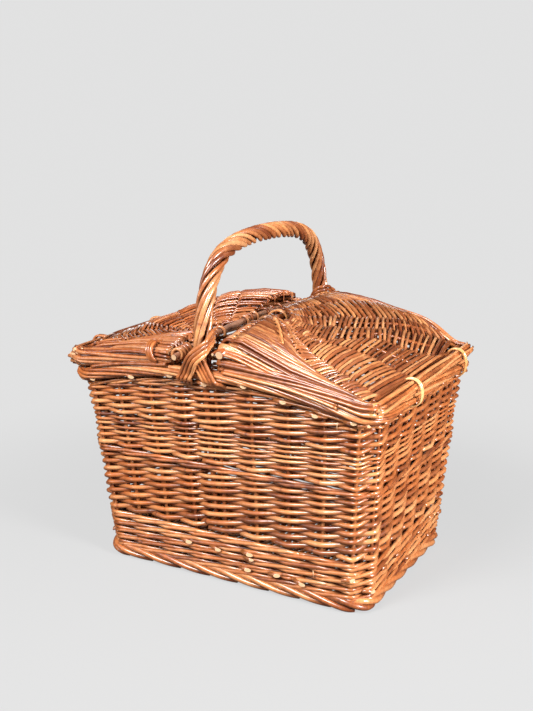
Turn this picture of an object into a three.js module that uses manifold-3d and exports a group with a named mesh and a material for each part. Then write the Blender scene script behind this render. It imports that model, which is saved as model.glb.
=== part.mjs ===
// Willow picnic basket with two domed lids and a roped bow handle. Millimetres, +Z up.
// The origin is the middle of the foot; +X runs along the long side, and the front is at -Y.
import * as THREE from "three";
import { mergeVertices } from "three/addons/utils/BufferGeometryUtils.js";
import Module from "manifold-3d";

const wasm = await Module();
wasm.setup();

// Gaps
const CLEAR = 0.3; // between pieces that lie on each other
const RUNNING = 0.6; // round what moves
const LID_SEAT = 0.5; // under the lids' edges

// Body: sizes over the outside of the woven wall
const RIM_HALF_LENGTH = 220;
const RIM_HALF_DEPTH = 166;
const FOOT_HALF_LENGTH = 198.5;
const FOOT_HALF_DEPTH = 136.5;
const CORNER_CUT = 22; // the weave crosses each corner between two stakes
const RIM_HEIGHT = 257; // underside of the border at the corners
const RIM_RISE_FRONT = 26; // how far the rim arches up at the middle of a long side
const RIM_RISE_BACK = 34;

// Levels of the side weave
const FOOT_HEIGHT = 21;
const UPSETT_TOP = 70;
const LOWER_SIDING_TOP = 157;
const MIDDLE_WALE_TOP = 168;
const TOP_WALE_HEIGHT = 7;
const SIDING_THICKNESS = 13;
const WALE_THICKNESS = 15;
const UPSETT_ROUNDS = 5;
const LOWER_ROWS = 8;
const UPPER_ROWS = 13; // up to the crown of the arch
const ROW_DEPTH = 3; // grooves round the crest that each row has over a stake
const ROUND_DEPTH = 2.5;
const GROOVE_SHARE = 0.3; // of a round's height, on each side of a groove

// Rolled border on the rim
const BORDER_WIDTH = 18;
const BORDER_PROUD = 6; // past the outside of the wall
const BORDER_HEIGHT = 18;
const BORDER_LEFT_GAIN = 5; // thicker at the left end, thinner at the right
const BORDER_BACK_GAIN = 3; // thicker at the back, thinner at the front

// Foot border and base
const FOOT_PROUD = 4;
const BASE_THICKNESS = 10;
const BASE_UNDERSIDE = 10.5;
const BASE_STICK_RADIUS = 3.3;
const BASE_STICK_SPACING = 48;
const BASE_STICK_COUNT = 5;
const CORNER_STAKE_RADIUS = 2.8;

// Lids: the edge roll turns inside two cane rings at each end of the basket
const LID_OVER_ENDS = 8; // how far the lids' edges stand past the wall
const LID_OVER_SIDES = 10;
const LID_CORNER_RADIUS = 19;
const LID_THICKNESS = 9;
const STICK_RADIUS = 6.25;
const STICK_OVERHANG = 2; // past the lid's edge roll
const INNER_STICK_RADIUS = 2.6;
const RIB_RADIUS = 2.5;
const RIB_ANGLES = [-48, -27, -13, 15, 40, 48, 53, 70];
const RIB_ROOT_SPACING = 10;
const RIB_ROOT_MIDDLE = -40;
const RIB_SEAT = 1; // under the weave, more than CLEAR because the two are faceted differently
const RIB_FROM_STICK = 3;
const RIB_FROM_END = 14; // short of the roll, and so on the next line
const RIB_FROM_SIDE = 4;
const ROLL_TAPER = [0.6, 0.85]; // shares of a lid's length over which its roll reaches the end radius
const ROLL_BULGE_SHARE = 0.4; // share over which the back of the roll thickens
const DOME_SHARE = 0.9; // share of the lid's depth that its dome takes

// Handle
const HANDLE_X = -15; // the bow is pushed down beside the middle stake
const BOW_RADIUS = 4.5;
const BOW_CLEARANCE = 0.45;
const ROPE_RADIUS = 11.5;
const HANDLE_TOP = 451; // centre line of the bow
const LEG_OVER_UPSETT = 13; // the bow's legs go down into the side to just above the upsett wale
const NECK_INWARD = 1; // from the wall's outside at the rim to the bow's centre line above it
// How far the bow's centre line is in from the neck and down from the top, going up
const BOW_SHAPE = [
  [0, 123],
  [2, 103],
  [6.5, 80],
  [13.5, 59],
  [25.5, 38],
  [45.5, 19],
  [78.5, 7],
  [120.5, 1.5],
];
const TIE_ROD_RADIUS = 2.05;
const TIE_ROD_GAP = 0.5;
const TIE_SEAT = 1.1; // between the rods and what they lie on
const TIE_CROSS_GAP = 3.6; // between the two halves where they cross
const TIE_ROD_COUNT = 4;
const TIE_CROSS_HEIGHT = 20; // over the border
const TIE_CLIMB = 28; // from the crossing to the inner side of the neck
const TIE_SPREAD = 21; // of the ends to each side of the neck
// Shares of half a turn from the inner side of the neck, and of the way out to the rod's own layer
const TIE_TURN = [
  [0.25, 0],
  [0.5, 0],
  [0.62, 0.12],
  [0.78, 1],
];
// Shares of the height from the rim to the crossing: below the neck, on the border, on its lower curve
const TIE_LEVELS = { neck: 0.68, border: 0.35, curve: 0.08 };
const TIE_TURN_IN = 1; // on the border's lower curve
const TIE_CURLS = { curve: 0.5, end: 1.5 }; // how steeply the rod's outer side turns down there

// Cane and willow windings
const CANE_RADIUS = 1.4;
const HINGE_TURNS = 2;
const HINGE_PITCH = 3.5;
const LEFT_HINGES_Y = [-108, 25];
const RIGHT_HINGES_Y = [-58, 110];
const LOOP_ROD_RADIUS = 2.1;
const LOOP_TURNS = 2;
const LOOP_PITCH = 4.9;
const LOOP_LIFT = 3; // the loop stands up from the roll on its upper side
const RIB_TIE_RADIUS = 1.6;
const RIB_TIE_TURNS = 2;
const RIB_TIE_PITCH = 3.9;
const RIB_TIES_Y = [-80, -22, 22];
const TIE_OVAL = 1.25; // so that an oval winding clears the two round sticks inside it

// Each lid: which side it is on, its stick, the radii of its edge roll and its crown
const LEFT_LID = {
  name: "left_lid",
  side: -1,
  stickX: -50,
  stickOnRoll: false,
  rollRadii: { front: 12, end: 13, back: 14, seam: 11 },
  crown: 9,
  stickCrown: 9,
  hinges: LEFT_HINGES_Y,
  ringOval: 0.76,
  loop: { x: -86, back: false },
};
const RIGHT_LID = {
  name: "right_lid",
  side: 1,
  stickX: 16,
  stickOnRoll: true,
  rollRadii: { front: 8, end: 9, back: 12, seam: 8 },
  crown: 25,
  stickCrown: 13,
  hinges: RIGHT_HINGES_Y,
  ringOval: 0.86,
  loop: { x: 74, back: true },
};

// Steps of the faceted shapes
const ARCHED = { long: 10, short: 2 };
const STRAIGHT = { long: 1, short: 1 };
const WOVEN = { long: 16, short: 12, corner: 2 }; // every second point is at a stake
const ROD_SIDES = 6;
const ROLL_SIDES = 8;
const ARCH_STEPS = 26;
const TIE_STEPS = 30;
const ROLL_STEPS = 30;
const PANEL_STEPS = { along: 8, across: 14 };
const STICK_STEPS = 8;
const RIB_STEPS = 6;
const RIB_SIDES = 4;
const LOOP_STEPS = 20;
const LOOP_SIDES = 5;
const SMALL_LOOP_STEPS = 12;
const SMALL_LOOP_SIDES = 5;

const WILLOW = new THREE.MeshStandardMaterial({ color: 0xc0743c, roughness: 0.55, metalness: 0 });
const DARK_WILLOW = new THREE.MeshStandardMaterial({ color: 0x9a5426, roughness: 0.6, metalness: 0 });
const PALE_WILLOW = new THREE.MeshStandardMaterial({ color: 0xd08a4c, roughness: 0.5, metalness: 0 });
const CANE = new THREE.MeshStandardMaterial({ color: 0xe6bd77, roughness: 0.5, metalness: 0 });

const LID_EDGE_HALF_LENGTH = RIM_HALF_LENGTH + LID_OVER_ENDS;
const LID_EDGE_HALF_DEPTH = RIM_HALF_DEPTH + LID_OVER_SIDES;
const NECK_Y = RIM_HALF_DEPTH - NECK_INWARD;

const lerp = THREE.MathUtils.lerp;
const level = (z) => () => z;
const Z_AXIS = new THREE.Vector3(0, 0, 1);

// Where the sides lean and arch

// Height of the rim's underside over a point of the plan.
function rimAt(x, y) {
  const along = Math.min(1, Math.abs(x) / (RIM_HALF_LENGTH - CORNER_CUT));
  const back = THREE.MathUtils.clamp(0.5 + y / (2 * RIM_HALF_DEPTH), 0, 1);
  return RIM_HEIGHT + lerp(RIM_RISE_FRONT, RIM_RISE_BACK, back) * (1 - along * along);
}

function borderHeightAt(x, y) {
  return BORDER_HEIGHT - (BORDER_LEFT_GAIN * x) / RIM_HALF_LENGTH + (BORDER_BACK_GAIN * y) / RIM_HALF_DEPTH;
}

function borderTopAt(x, y) {
  return rimAt(x, y) + borderHeightAt(x, y);
}

// Moves a coordinate that is drawn at rim size to where the leaning wall is at a height.
function squeezed(value, rimHalf, footHalf, z) {
  const inward = (rimHalf - footHalf) * (1 - z / RIM_HEIGHT);
  const flat = rimHalf - CORNER_CUT;
  const size = Math.abs(value);
  const moved = size < flat ? (size * (flat - inward)) / flat : size - inward;
  return Math.sign(value) * moved;
}

function leaned(x, y, z) {
  return new THREE.Vector3(
    squeezed(x, RIM_HALF_LENGTH, FOOT_HALF_LENGTH, z),
    squeezed(y, RIM_HALF_DEPTH, FOOT_HALF_DEPTH, z),
    z,
  );
}

// Height of the border's top under a point of the plan as it stands, where the border leans out a little.
function seatAt(x, y) {
  const z = borderTopAt(x, y);
  const drawnX = 2 * x - squeezed(x, RIM_HALF_LENGTH, FOOT_HALF_LENGTH, z);
  const drawnY = 2 * y - squeezed(y, RIM_HALF_DEPTH, FOOT_HALF_DEPTH, z);
  return borderTopAt(drawnX, drawnY);
}

// Plan of the wall at rim size, drawn in from its outside by inset, anticlockwise.
function outline(inset, { long, short, corner = 1 }) {
  const a = RIM_HALF_LENGTH - inset;
  const b = RIM_HALF_DEPTH - inset;
  const cut = CORNER_CUT - inset * (2 - Math.SQRT2);
  const corners = [
    [a, -b + cut, short],
    [a, b - cut, corner],
    [a - cut, b, long],
    [-a + cut, b, corner],
    [-a, b - cut, short],
    [-a, -b + cut, corner],
    [-a + cut, -b, long],
    [a - cut, -b, corner],
  ];
  const points = [];
  corners.forEach(([x, y, steps], i) => {
    const [nextX, nextY] = corners[(i + 1) % corners.length];
    for (let k = 0; k < steps; k++) {
      points.push(new THREE.Vector2(lerp(x, nextX, k / steps), lerp(y, nextY, k / steps)));
    }
  });
  return points;
}

function circlePoints(x, y, radius, sides) {
  return Array.from({ length: sides }, (_, i) => {
    const angle = (2 * Math.PI * i) / sides;
    return new THREE.Vector2(x + radius * Math.cos(angle), y + radius * Math.sin(angle));
  });
}

// Solids: joining, cutting and the shapes that follow a line

function positionsOnly(geometry) {
  const copy = geometry.clone();
  copy.deleteAttribute("normal");
  copy.deleteAttribute("uv");
  return mergeVertices(copy, 1e-3);
}

function toSolid(geometry) {
  const merged = positionsOnly(geometry);
  return new wasm.Manifold(
    new wasm.Mesh({
      numProp: 3,
      vertProperties: merged.attributes.position.array,
      triVerts: new Uint32Array(merged.index.array),
    }),
  );
}

function toGeometry(solid) {
  const mesh = solid.getMesh();
  const geometry = new THREE.BufferGeometry();
  geometry.setAttribute("position", new THREE.BufferAttribute(mesh.vertProperties, 3));
  geometry.setIndex(new THREE.BufferAttribute(mesh.triVerts, 1));
  geometry.computeVertexNormals();
  return geometry;
}

function cut(geometry, cutters) {
  return toGeometry(cutters.reduce((solid, cutter) => solid.subtract(toSolid(cutter)), toSolid(geometry)));
}

function joined(geometries) {
  const [first, ...others] = geometries;
  return toGeometry(others.reduce((sum, next) => sum.add(toSolid(next)), toSolid(first)));
}

// Moves every vertex of a geometry with place(vertex).
function reshape(geometry, place) {
  const position = geometry.getAttribute("position");
  const vertex = new THREE.Vector3();
  for (let i = 0; i < position.count; i++) {
    const moved = place(vertex.fromBufferAttribute(position, i));
    position.setXYZ(i, moved.x, moved.y, moved.z);
  }
  geometry.computeVertexNormals();
  return geometry;
}

// Solid of a flat shape, from bottom(x, y) to top(x, y), leaning with the wall.
function leaningSolid(shape, bottom, top) {
  const geometry = new THREE.ExtrudeGeometry(shape, { depth: 1, steps: 1, bevelEnabled: false });
  return reshape(geometry, ({ x, y, z }) => leaned(x, y, lerp(bottom(x, y), top(x, y), z)));
}

// Closed ring with one section all round; place(i, j) puts section point j at outline point i.
function closedRing(count, sectionCount, place) {
  const geometry = new THREE.TorusGeometry(2, 1, sectionCount, count);
  const position = geometry.getAttribute("position");
  for (let j = 0; j <= sectionCount; j++) {
    for (let i = 0; i <= count; i++) {
      const point = place(i % count, j % sectionCount);
      position.setXYZ(j * (count + 1) + i, point.x, point.y, point.z);
    }
  }
  geometry.computeVertexNormals();
  return geometry;
}

// Rod through stations, each with its point, an up direction, a radius and, at need, the rod's direction.
function rodThrough(stations, sides) {
  const last = stations.length - 1;
  const frames = stations.map((station, i) => {
    const before = stations[Math.max(0, i - 1)].at;
    const after = stations[Math.min(last, i + 1)].at;
    const along = station.along ?? after.clone().sub(before).normalize();
    const side = along.clone().cross(station.up).normalize();
    return { at: station.at, side, up: side.clone().cross(along), radius: station.radius };
  });
  const geometry = new THREE.CylinderGeometry(1, 1, 1, sides, last);
  return reshape(geometry, ({ x, y, z }) => {
    const frame = frames[Math.round((y + 0.5) * last)];
    return frame.at
      .clone()
      .addScaledVector(frame.side, x * frame.radius)
      .addScaledVector(frame.up, z * frame.radius);
  });
}

function straightRod(from, to, radius, sides) {
  const up = Math.abs(to.z - from.z) > Math.hypot(to.x - from.x, to.y - from.y)
    ? new THREE.Vector3(0, 1, 0)
    : Z_AXIS;
  return rodThrough([{ at: from, up, radius }, { at: to, up, radius }], sides);
}

function boxBetween(low, high) {
  const size = new THREE.Vector3().subVectors(high, low);
  const box = new THREE.BoxGeometry(size.x, size.y, size.z);
  return box.translate((low.x + high.x) / 2, (low.y + high.y) / 2, (low.z + high.z) / 2);
}

// Winding round an axis: one unbroken rod, whose least gap to itself is measured on its points.
// It is as wide as radius in the start direction and as wide as sideRadius across it.
const windingGaps = [];
function winding(name, shape) {
  const { centre, axis, start, radius, sideRadius = radius, rod, turns, pitch, steps, sides } = shape;
  const first = start.clone().normalize();
  const second = axis.clone().cross(first).normalize();
  const count = Math.round(turns * steps);
  const stations = Array.from({ length: count + 1 }, (_, i) => {
    const angle = (2 * Math.PI * turns * i) / count;
    const out = first.clone().multiplyScalar(radius * Math.cos(angle));
    out.addScaledVector(second, sideRadius * Math.sin(angle));
    const climb = (i / count - 0.5) * turns * pitch;
    return { at: centre.clone().add(out).addScaledVector(axis, climb), up: out, radius: rod };
  });
  let gap = Infinity;
  stations.forEach((a, i) => {
    stations.slice(i + Math.round(steps / 2)).forEach((b) => {
      gap = Math.min(gap, a.at.distanceTo(b.at) - 2 * rod);
    });
  });
  windingGaps.push(`${name} ${gap.toFixed(2)}`);
  return rodThrough(stations, sides);
}

const basket = new THREE.Group();

function addNode(name, geometry, material) {
  const mesh = new THREE.Mesh(geometry, material);
  mesh.name = name;
  basket.add(mesh);
}

// Side of the basket: rings of weave round corner stakes and round the legs of the handle

const cornerStakePlaces = [];
for (const xSign of [-1, 1]) {
  for (const ySign of [-1, 1]) {
    const inset = SIDING_THICKNESS / 2;
    const a = RIM_HALF_LENGTH - inset;
    const b = RIM_HALF_DEPTH - inset;
    const cornerCut = CORNER_CUT - inset * (2 - Math.SQRT2);
    const corner = `${ySign < 0 ? "front" : "back"}_${xSign < 0 ? "left" : "right"}`;
    cornerStakePlaces.push(
      { name: `${corner}_long_side_stake`, x: xSign * (a - cornerCut), y: ySign * b },
      { name: `${corner}_short_side_stake`, x: xSign * a, y: ySign * (b - cornerCut) },
    );
  }
}

// Each layer is an outline and its height over the plan, up the outside and down the inside.
function layeredRing(plan, layers) {
  return closedRing(plan.length, layers.length, (i, j) => {
    const [points, height] = layers[j];
    return leaned(points[i].x, points[i].y, height(plan[i].x, plan[i].y));
  });
}

function bandRing({ thickness, bottom, top, steps, rounds = 1 }) {
  const proud = (thickness - SIDING_THICKNESS) / 2;
  const outside = outline(-proud, steps);
  const groove = outline(ROUND_DEPTH - proud, steps);
  const inside = outline(thickness - proud, steps);
  const layers = [[outside, bottom]];
  for (let k = 1; k < rounds; k++) {
    const at = (share) => (x, y) => lerp(bottom(x, y), top(x, y), share / rounds);
    layers.push([outside, at(k - GROOVE_SHARE)], [groove, at(k)], [outside, at(k + GROOVE_SHARE)]);
  }
  layers.push([outside, top], [inside, top], [inside, bottom]);
  return layeredRing(outline(0, steps), layers);
}

// A band of rows, each with a crest over every stake
function rowedRing(bottom, top, rows) {
  const groove = outline(ROW_DEPTH, WOVEN);
  const crest = outline(0, WOVEN).map((point, i) => (i % 2 ? groove[i] : point));
  const inside = outline(SIDING_THICKNESS, WOVEN);
  const layers = [[groove, level(bottom)]];
  for (let k = 0; k < rows; k++) {
    const at = (share) => level(lerp(bottom, top, (k + share) / rows));
    layers.push([crest, at(0.5)], [groove, at(1)]);
  }
  layers.push([inside, level(top)], [inside, level(bottom)]);
  return layeredRing(groove, layers);
}

const stakeChannels = cornerStakePlaces.map(({ x, y }) => {
  const shape = new THREE.Shape(circlePoints(x, y, CORNER_STAKE_RADIUS + CLEAR, ROD_SIDES));
  return leaningSolid(shape, level(0), level(RIM_HEIGHT + BORDER_HEIGHT));
});

for (const { name, x, y } of cornerStakePlaces) {
  const shape = new THREE.Shape(circlePoints(x, y, CORNER_STAKE_RADIUS, ROD_SIDES));
  addNode(name, leaningSolid(shape, level(FOOT_HEIGHT + CLEAR), level(RIM_HEIGHT - CLEAR)), WILLOW);
}

// Handle: a bow whose legs go down inside the wall, roped above the border

const legY = RIM_HALF_DEPTH - SIDING_THICKNESS / 2;
function legStation(ySign, z) {
  return leaned(HANDLE_X, ySign * legY, z);
}

const legBottom = UPSETT_TOP + LEG_OVER_UPSETT;
const frontNeckZ = borderTopAt(0, -RIM_HALF_DEPTH) + CLEAR;
const backNeckZ = borderTopAt(0, RIM_HALF_DEPTH) + CLEAR;
const neckX = legStation(-1, frontNeckZ).x;
const archPoint = ([inward, down], ySign) =>
  new THREE.Vector3(neckX, ySign * (NECK_Y - inward), HANDLE_TOP - down);
const archCurve = new THREE.CatmullRomCurve3([
  legStation(-1, frontNeckZ),
  ...BOW_SHAPE.map((point) => archPoint(point, -1)),
  new THREE.Vector3(neckX, 0, HANDLE_TOP),
  ...[...BOW_SHAPE].reverse().map((point) => archPoint(point, 1)),
  legStation(1, backNeckZ),
], false, "centripetal");
const ropedPoints = archCurve.getSpacedPoints(ARCH_STEPS);
const legPoints = (ySign, top) => [legStation(ySign, legBottom), legStation(ySign, (legBottom + top) / 2)];
const bowPoints = [...legPoints(-1, frontNeckZ), ...ropedPoints, ...legPoints(1, backNeckZ).reverse()];
const toStations = (points, radius) => points.map((at) => ({ at, up: new THREE.Vector3(1, 0, 0), radius }));
const bowBore = rodThrough(toStations(bowPoints, BOW_RADIUS + BOW_CLEARANCE), ROD_SIDES);
const ropeStations = toStations(ropedPoints, ROPE_RADIUS);
ropeStations[0].along = Z_AXIS;
ropeStations[ARCH_STEPS].along = Z_AXIS.clone().negate();
const rope = rodThrough(ropeStations, ROLL_SIDES);
addNode("handle_bow", rodThrough(toStations(bowPoints, BOW_RADIUS), ROD_SIDES), DARK_WILLOW);
addNode("handle_rope", cut(rope, [bowBore]), WILLOW);

// Rolled border, with a hole for each leg of the bow

const borderSection = Array.from({ length: ROLL_SIDES }, (_, j) => {
  const angle = (2 * Math.PI * (j + 0.5)) / ROLL_SIDES;
  const scale = 1 / Math.cos(Math.PI / ROLL_SIDES);
  return { across: Math.cos(angle) * scale, up: Math.sin(angle) * scale };
});
const borderInset = (across) => BORDER_WIDTH / 2 - BORDER_PROUD - (across * BORDER_WIDTH) / 2;
const borderZ = (x, y, up) => lerp(rimAt(x, y) + CLEAR, borderTopAt(x, y), 0.5 + up / 2);
const borderPlan = outline(0, ARCHED);
const borderOutlines = borderSection.map(({ across }) => outline(borderInset(across), ARCHED));
const border = closedRing(borderPlan.length, ROLL_SIDES, (i, j) => {
  const { x, y } = borderOutlines[j][i];
  return leaned(x, y, borderZ(borderPlan[i].x, borderPlan[i].y, borderSection[j].up));
});
addNode("rim_border", cut(border, [bowBore]), PALE_WILLOW);

// Hinge rings: each goes round the border and the lid's edge roll, between two stakes

function rollCentreZ(x, y, radius) {
  return seatAt(x, y) + LID_SEAT + radius;
}

// The ring is just large enough for the border's section and the roll together.
function hingePlace(lid, y) {
  const rollRadius = lid.rollRadii.end;
  const rollX = lid.side * (LID_EDGE_HALF_LENGTH - rollRadius);
  const rollZ = rollCentreZ(rollX, y, rollRadius);
  const section = borderSection.map(({ across, up }) => {
    const z = borderZ(lid.side * RIM_HALF_LENGTH, y, up);
    return { x: leaned(lid.side * (RIM_HALF_LENGTH - borderInset(across)), y, z).x, z };
  });
  const borderX = lid.side * (RIM_HALF_LENGTH - borderInset(0));
  const low = Math.min(...section.map(({ z }) => z));
  const centre = new THREE.Vector3((rollX + borderX) / 2, y, (low + rollZ + rollRadius) / 2);
  const toRoll = Math.hypot(rollX - centre.x, rollZ - centre.z) + rollRadius;
  const toBorder = Math.max(...section.map(({ x, z }) => Math.hypot(x - centre.x, z - centre.z)));
  const chord = 1 / Math.cos(Math.PI / LOOP_STEPS);
  const radius = (Math.max(toRoll, toBorder) + CLEAR) * chord + CANE_RADIUS;
  return { centre, radius, rollX, rollZ };
}
const hingeHalfWidth = (HINGE_TURNS * HINGE_PITCH) / 2 + CANE_RADIUS + RUNNING;

const hingePassages = [];
for (const lid of [LEFT_LID, RIGHT_LID]) {
  lid.hinges.forEach((y, i) => {
    const { centre, radius } = hingePlace(lid, y);
    const name = `${lid.name}_hinge_ring_${i + 1}`;
    const place = { centre, axis: new THREE.Vector3(0, 1, 0), start: new THREE.Vector3(0, 0, -1) };
    const cane = { radius, sideRadius: radius * lid.ringOval, rod: CANE_RADIUS, turns: HINGE_TURNS, pitch: HINGE_PITCH };
    addNode(name, winding(name, { ...place, ...cane, steps: LOOP_STEPS, sides: LOOP_SIDES }), CANE);
    const reach = 2 * SIDING_THICKNESS;
    const floor = centre.z - radius - CANE_RADIUS - CLEAR;
    const roof = RIM_HEIGHT + TOP_WALE_HEIGHT;
    hingePassages.push(
      boxBetween(
        new THREE.Vector3(centre.x - reach, y - hingeHalfWidth, floor),
        new THREE.Vector3(centre.x + reach, y + hingeHalfWidth, roof),
      ),
    );
  });
}

// Bands of the side weave

const underTopWale = (x, y) => rimAt(x, y) - TOP_WALE_HEIGHT;
const wale = (bottom, top, more) => bandRing({ thickness: WALE_THICKNESS, bottom, top, steps: STRAIGHT, ...more });
const crown = RIM_HEIGHT + RIM_RISE_BACK;
const overArch = bandRing({
  thickness: 2 * WALE_THICKNESS,
  bottom: (x, y) => underTopWale(x, y) - CLEAR,
  top: level(crown + BORDER_HEIGHT),
  steps: ARCHED,
});
const upsettWale = wale(level(FOOT_HEIGHT), level(UPSETT_TOP - CLEAR), { rounds: UPSETT_ROUNDS });
const lowerSiding = rowedRing(UPSETT_TOP, LOWER_SIDING_TOP - CLEAR, LOWER_ROWS);
const middleWale = wale(level(LOWER_SIDING_TOP), level(MIDDLE_WALE_TOP - CLEAR));
const upperSiding = rowedRing(MIDDLE_WALE_TOP, crown, UPPER_ROWS);
const topWale = wale(underTopWale, rimAt, { steps: ARCHED });
addNode("upsett_wale", cut(upsettWale, stakeChannels), WILLOW);
addNode("lower_siding", cut(lowerSiding, [...stakeChannels, bowBore]), WILLOW);
addNode("middle_wale", cut(middleWale, [...stakeChannels, bowBore]), DARK_WILLOW);
const underArch = [...stakeChannels, bowBore, ...hingePassages];
addNode("upper_siding", cut(upperSiding, [...underArch, overArch]), PALE_WILLOW);
addNode("top_wale", cut(topWale, underArch), DARK_WILLOW);

// Foot border, a flat-bottomed roll, and the woven base on its sticks

const footSection = [
  { inset: -FOOT_PROUD, z: FOOT_HEIGHT * 0.45 },
  { inset: -FOOT_PROUD * 0.6, z: FOOT_HEIGHT * 0.8 },
  { inset: FOOT_PROUD * 0.5, z: FOOT_HEIGHT - CLEAR },
  { inset: SIDING_THICKNESS, z: FOOT_HEIGHT - CLEAR },
  { inset: SIDING_THICKNESS, z: 0 },
  { inset: 0, z: 0 },
];
const footOutlines = footSection.map(({ inset }) => outline(inset, STRAIGHT));
addNode(
  "foot_border",
  closedRing(footOutlines[0].length, footSection.length, (i, j) => {
    const { x, y } = footOutlines[j][i];
    return leaned(x, y, footSection[j].z);
  }),
  DARK_WILLOW,
);

const baseShape = new THREE.Shape(outline(SIDING_THICKNESS + RUNNING, STRAIGHT));
const basePanel = leaningSolid(baseShape, level(BASE_UNDERSIDE), level(BASE_UNDERSIDE + BASE_THICKNESS));
const baseMiddle = BASE_UNDERSIDE + BASE_THICKNESS / 2;
const channels = [];
for (let i = 0; i < BASE_STICK_COUNT; i++) {
  const y = (i - (BASE_STICK_COUNT - 1) / 2) * BASE_STICK_SPACING;
  const end = leaned(RIM_HALF_LENGTH - SIDING_THICKNESS - 2 * RUNNING, 0, BASE_UNDERSIDE).x;
  const past = end + SIDING_THICKNESS;
  const at = (x) => new THREE.Vector3(x, y, baseMiddle);
  addNode(`base_stick_${i + 1}`, straightRod(at(-end), at(end), BASE_STICK_RADIUS, ROD_SIDES), WILLOW);
  channels.push(straightRod(at(-past), at(past), BASE_STICK_RADIUS + CLEAR, ROD_SIDES));
}
addNode("base_weave", cut(basePanel, channels), WILLOW);

// Ties: four rods come up from under the border, go round the neck of the rope on its inner side
// and down again, so that the two halves cross on the outside

// Middle of the roped leg at a height.
function neckCentre(ySign, z) {
  const leg = ySign < 0 ? ropedPoints : [...ropedPoints].reverse();
  const next = leg.findIndex((point, i) => i > 0 && point.z >= z);
  const [below, above] = [leg[next - 1], leg[next]];
  return below.clone().lerp(above, (z - below.z) / (above.z - below.z));
}

function neckTies(footName, ySign) {
  const rim = rimAt(HANDLE_X, ySign * RIM_HALF_DEPTH);
  const crossZ = rim + BORDER_HEIGHT + TIE_CROSS_HEIGHT;
  const slope = Math.atan2(TIE_CLIMB, Math.PI * ROPE_RADIUS);
  const down = Math.atan2(crossZ - rim, TIE_SPREAD);
  const underCross = lerp(rim, crossZ, TIE_LEVELS.neck);
  const seat = TIE_ROD_RADIUS + TIE_SEAT;
  const under = ROPE_RADIUS + seat;
  const over = under + 2 * TIE_ROD_RADIUS + TIE_CROSS_GAP;
  const pitch = 2 * TIE_ROD_RADIUS + TIE_ROD_GAP;
  const outAt = (drawn, z) => ySign * leaned(0, ySign * drawn, z).y + seat;
  const neckOut = ySign * legStation(ySign, rim + BORDER_HEIGHT + 2 * BOW_RADIUS).y + under;
  const borderOut = outAt(RIM_HALF_DEPTH + BORDER_PROUD, rim + BORDER_HEIGHT);
  const wallOut = outAt(RIM_HALF_DEPTH + (WALE_THICKNESS - SIDING_THICKNESS) / 2, rim);

  // A point on the rope at a turn from the inner side, as a share of half a turn.
  const onNeck = (side, share, rise, radius) => {
    const z = crossZ + TIE_CLIMB * (1 - share) + rise / Math.cos(slope);
    const angle = Math.PI * share;
    const up = new THREE.Vector3(side * Math.sin(angle), -ySign * Math.cos(angle), 0);
    return { at: neckCentre(ySign, z).addScaledVector(up, radius), up };
  };
  // A point on the straight stretch below the crossing.
  const below = (side, z, rise, out, curl) => {
    const aside = (crossZ - z) / Math.tan(down) + rise / Math.sin(down);
    const at = new THREE.Vector3(neckX - side * aside, ySign * out, z);
    return { at, up: new THREE.Vector3(0, ySign, -curl).normalize() };
  };
  const half = (side, layer, rise) => {
    const front = ySign * neckCentre(ySign, crossZ).y + layer;
    const shift = rise * Math.SQRT1_2;
    const fromAxis = front - layer + Math.sqrt(layer * layer - shift * shift);
    const crossing = new THREE.Vector3(neckX - side * shift, ySign * fromAxis, crossZ + shift);
    return [
      ...TIE_TURN.map(([share, moved]) => onNeck(side, share, rise, lerp(under, layer, moved))),
      { at: crossing, up: new THREE.Vector3(0, ySign, 0) },
      below(side, underCross, rise, ySign * neckCentre(ySign, underCross).y + layer, 0),
      below(side, lerp(rim, crossZ, TIE_LEVELS.border), rise, Math.max(borderOut, neckOut), 0),
      below(side, lerp(rim, crossZ, TIE_LEVELS.curve), rise, borderOut - TIE_TURN_IN, TIE_CURLS.curve),
      below(side, rim - 2 * TIE_ROD_RADIUS, rise, wallOut, TIE_CURLS.end),
    ];
  };
  for (let k = 0; k < TIE_ROD_COUNT; k++) {
    const rise = (k - (TIE_ROD_COUNT - 1) / 2) * pitch;
    const keys = [...half(1, over, rise).reverse(), onNeck(1, 0, rise, under), ...half(-1, under, rise)];
    const centreLine = new THREE.CatmullRomCurve3(keys.map(({ at }) => at), false, "centripetal");
    const outward = new THREE.CatmullRomCurve3(keys.map(({ up }) => up), false, "centripetal");
    const stations = Array.from({ length: TIE_STEPS + 1 }, (_, i) => ({
      at: centreLine.getPoint(i / TIE_STEPS),
      up: outward.getPoint(i / TIE_STEPS).normalize(),
      radius: TIE_ROD_RADIUS,
    }));
    addNode(`${footName}_tie_rod_${k + 1}`, rodThrough(stations, SMALL_LOOP_SIDES), PALE_WILLOW);
  }
}
neckTies("front_handle", -1);
neckTies("back_handle", 1);

// Lids

// Radius of a lid's edge roll at a plan point.
function rollRadiusAt(lid, x, y) {
  const radii = lid.rollRadii;
  const fromSeam = Math.abs(x - lid.stickX) / (LID_EDGE_HALF_LENGTH - Math.abs(lid.stickX));
  const toEnd = THREE.MathUtils.smoothstep(fromSeam, ...ROLL_TAPER);
  if (y < 0) return lerp(radii.front, radii.end, toEnd);
  const bulge = THREE.MathUtils.smoothstep(fromSeam, 0, ROLL_BULGE_SHARE);
  return lerp(lerp(radii.seam, radii.back, bulge), radii.end, toEnd);
}

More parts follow.
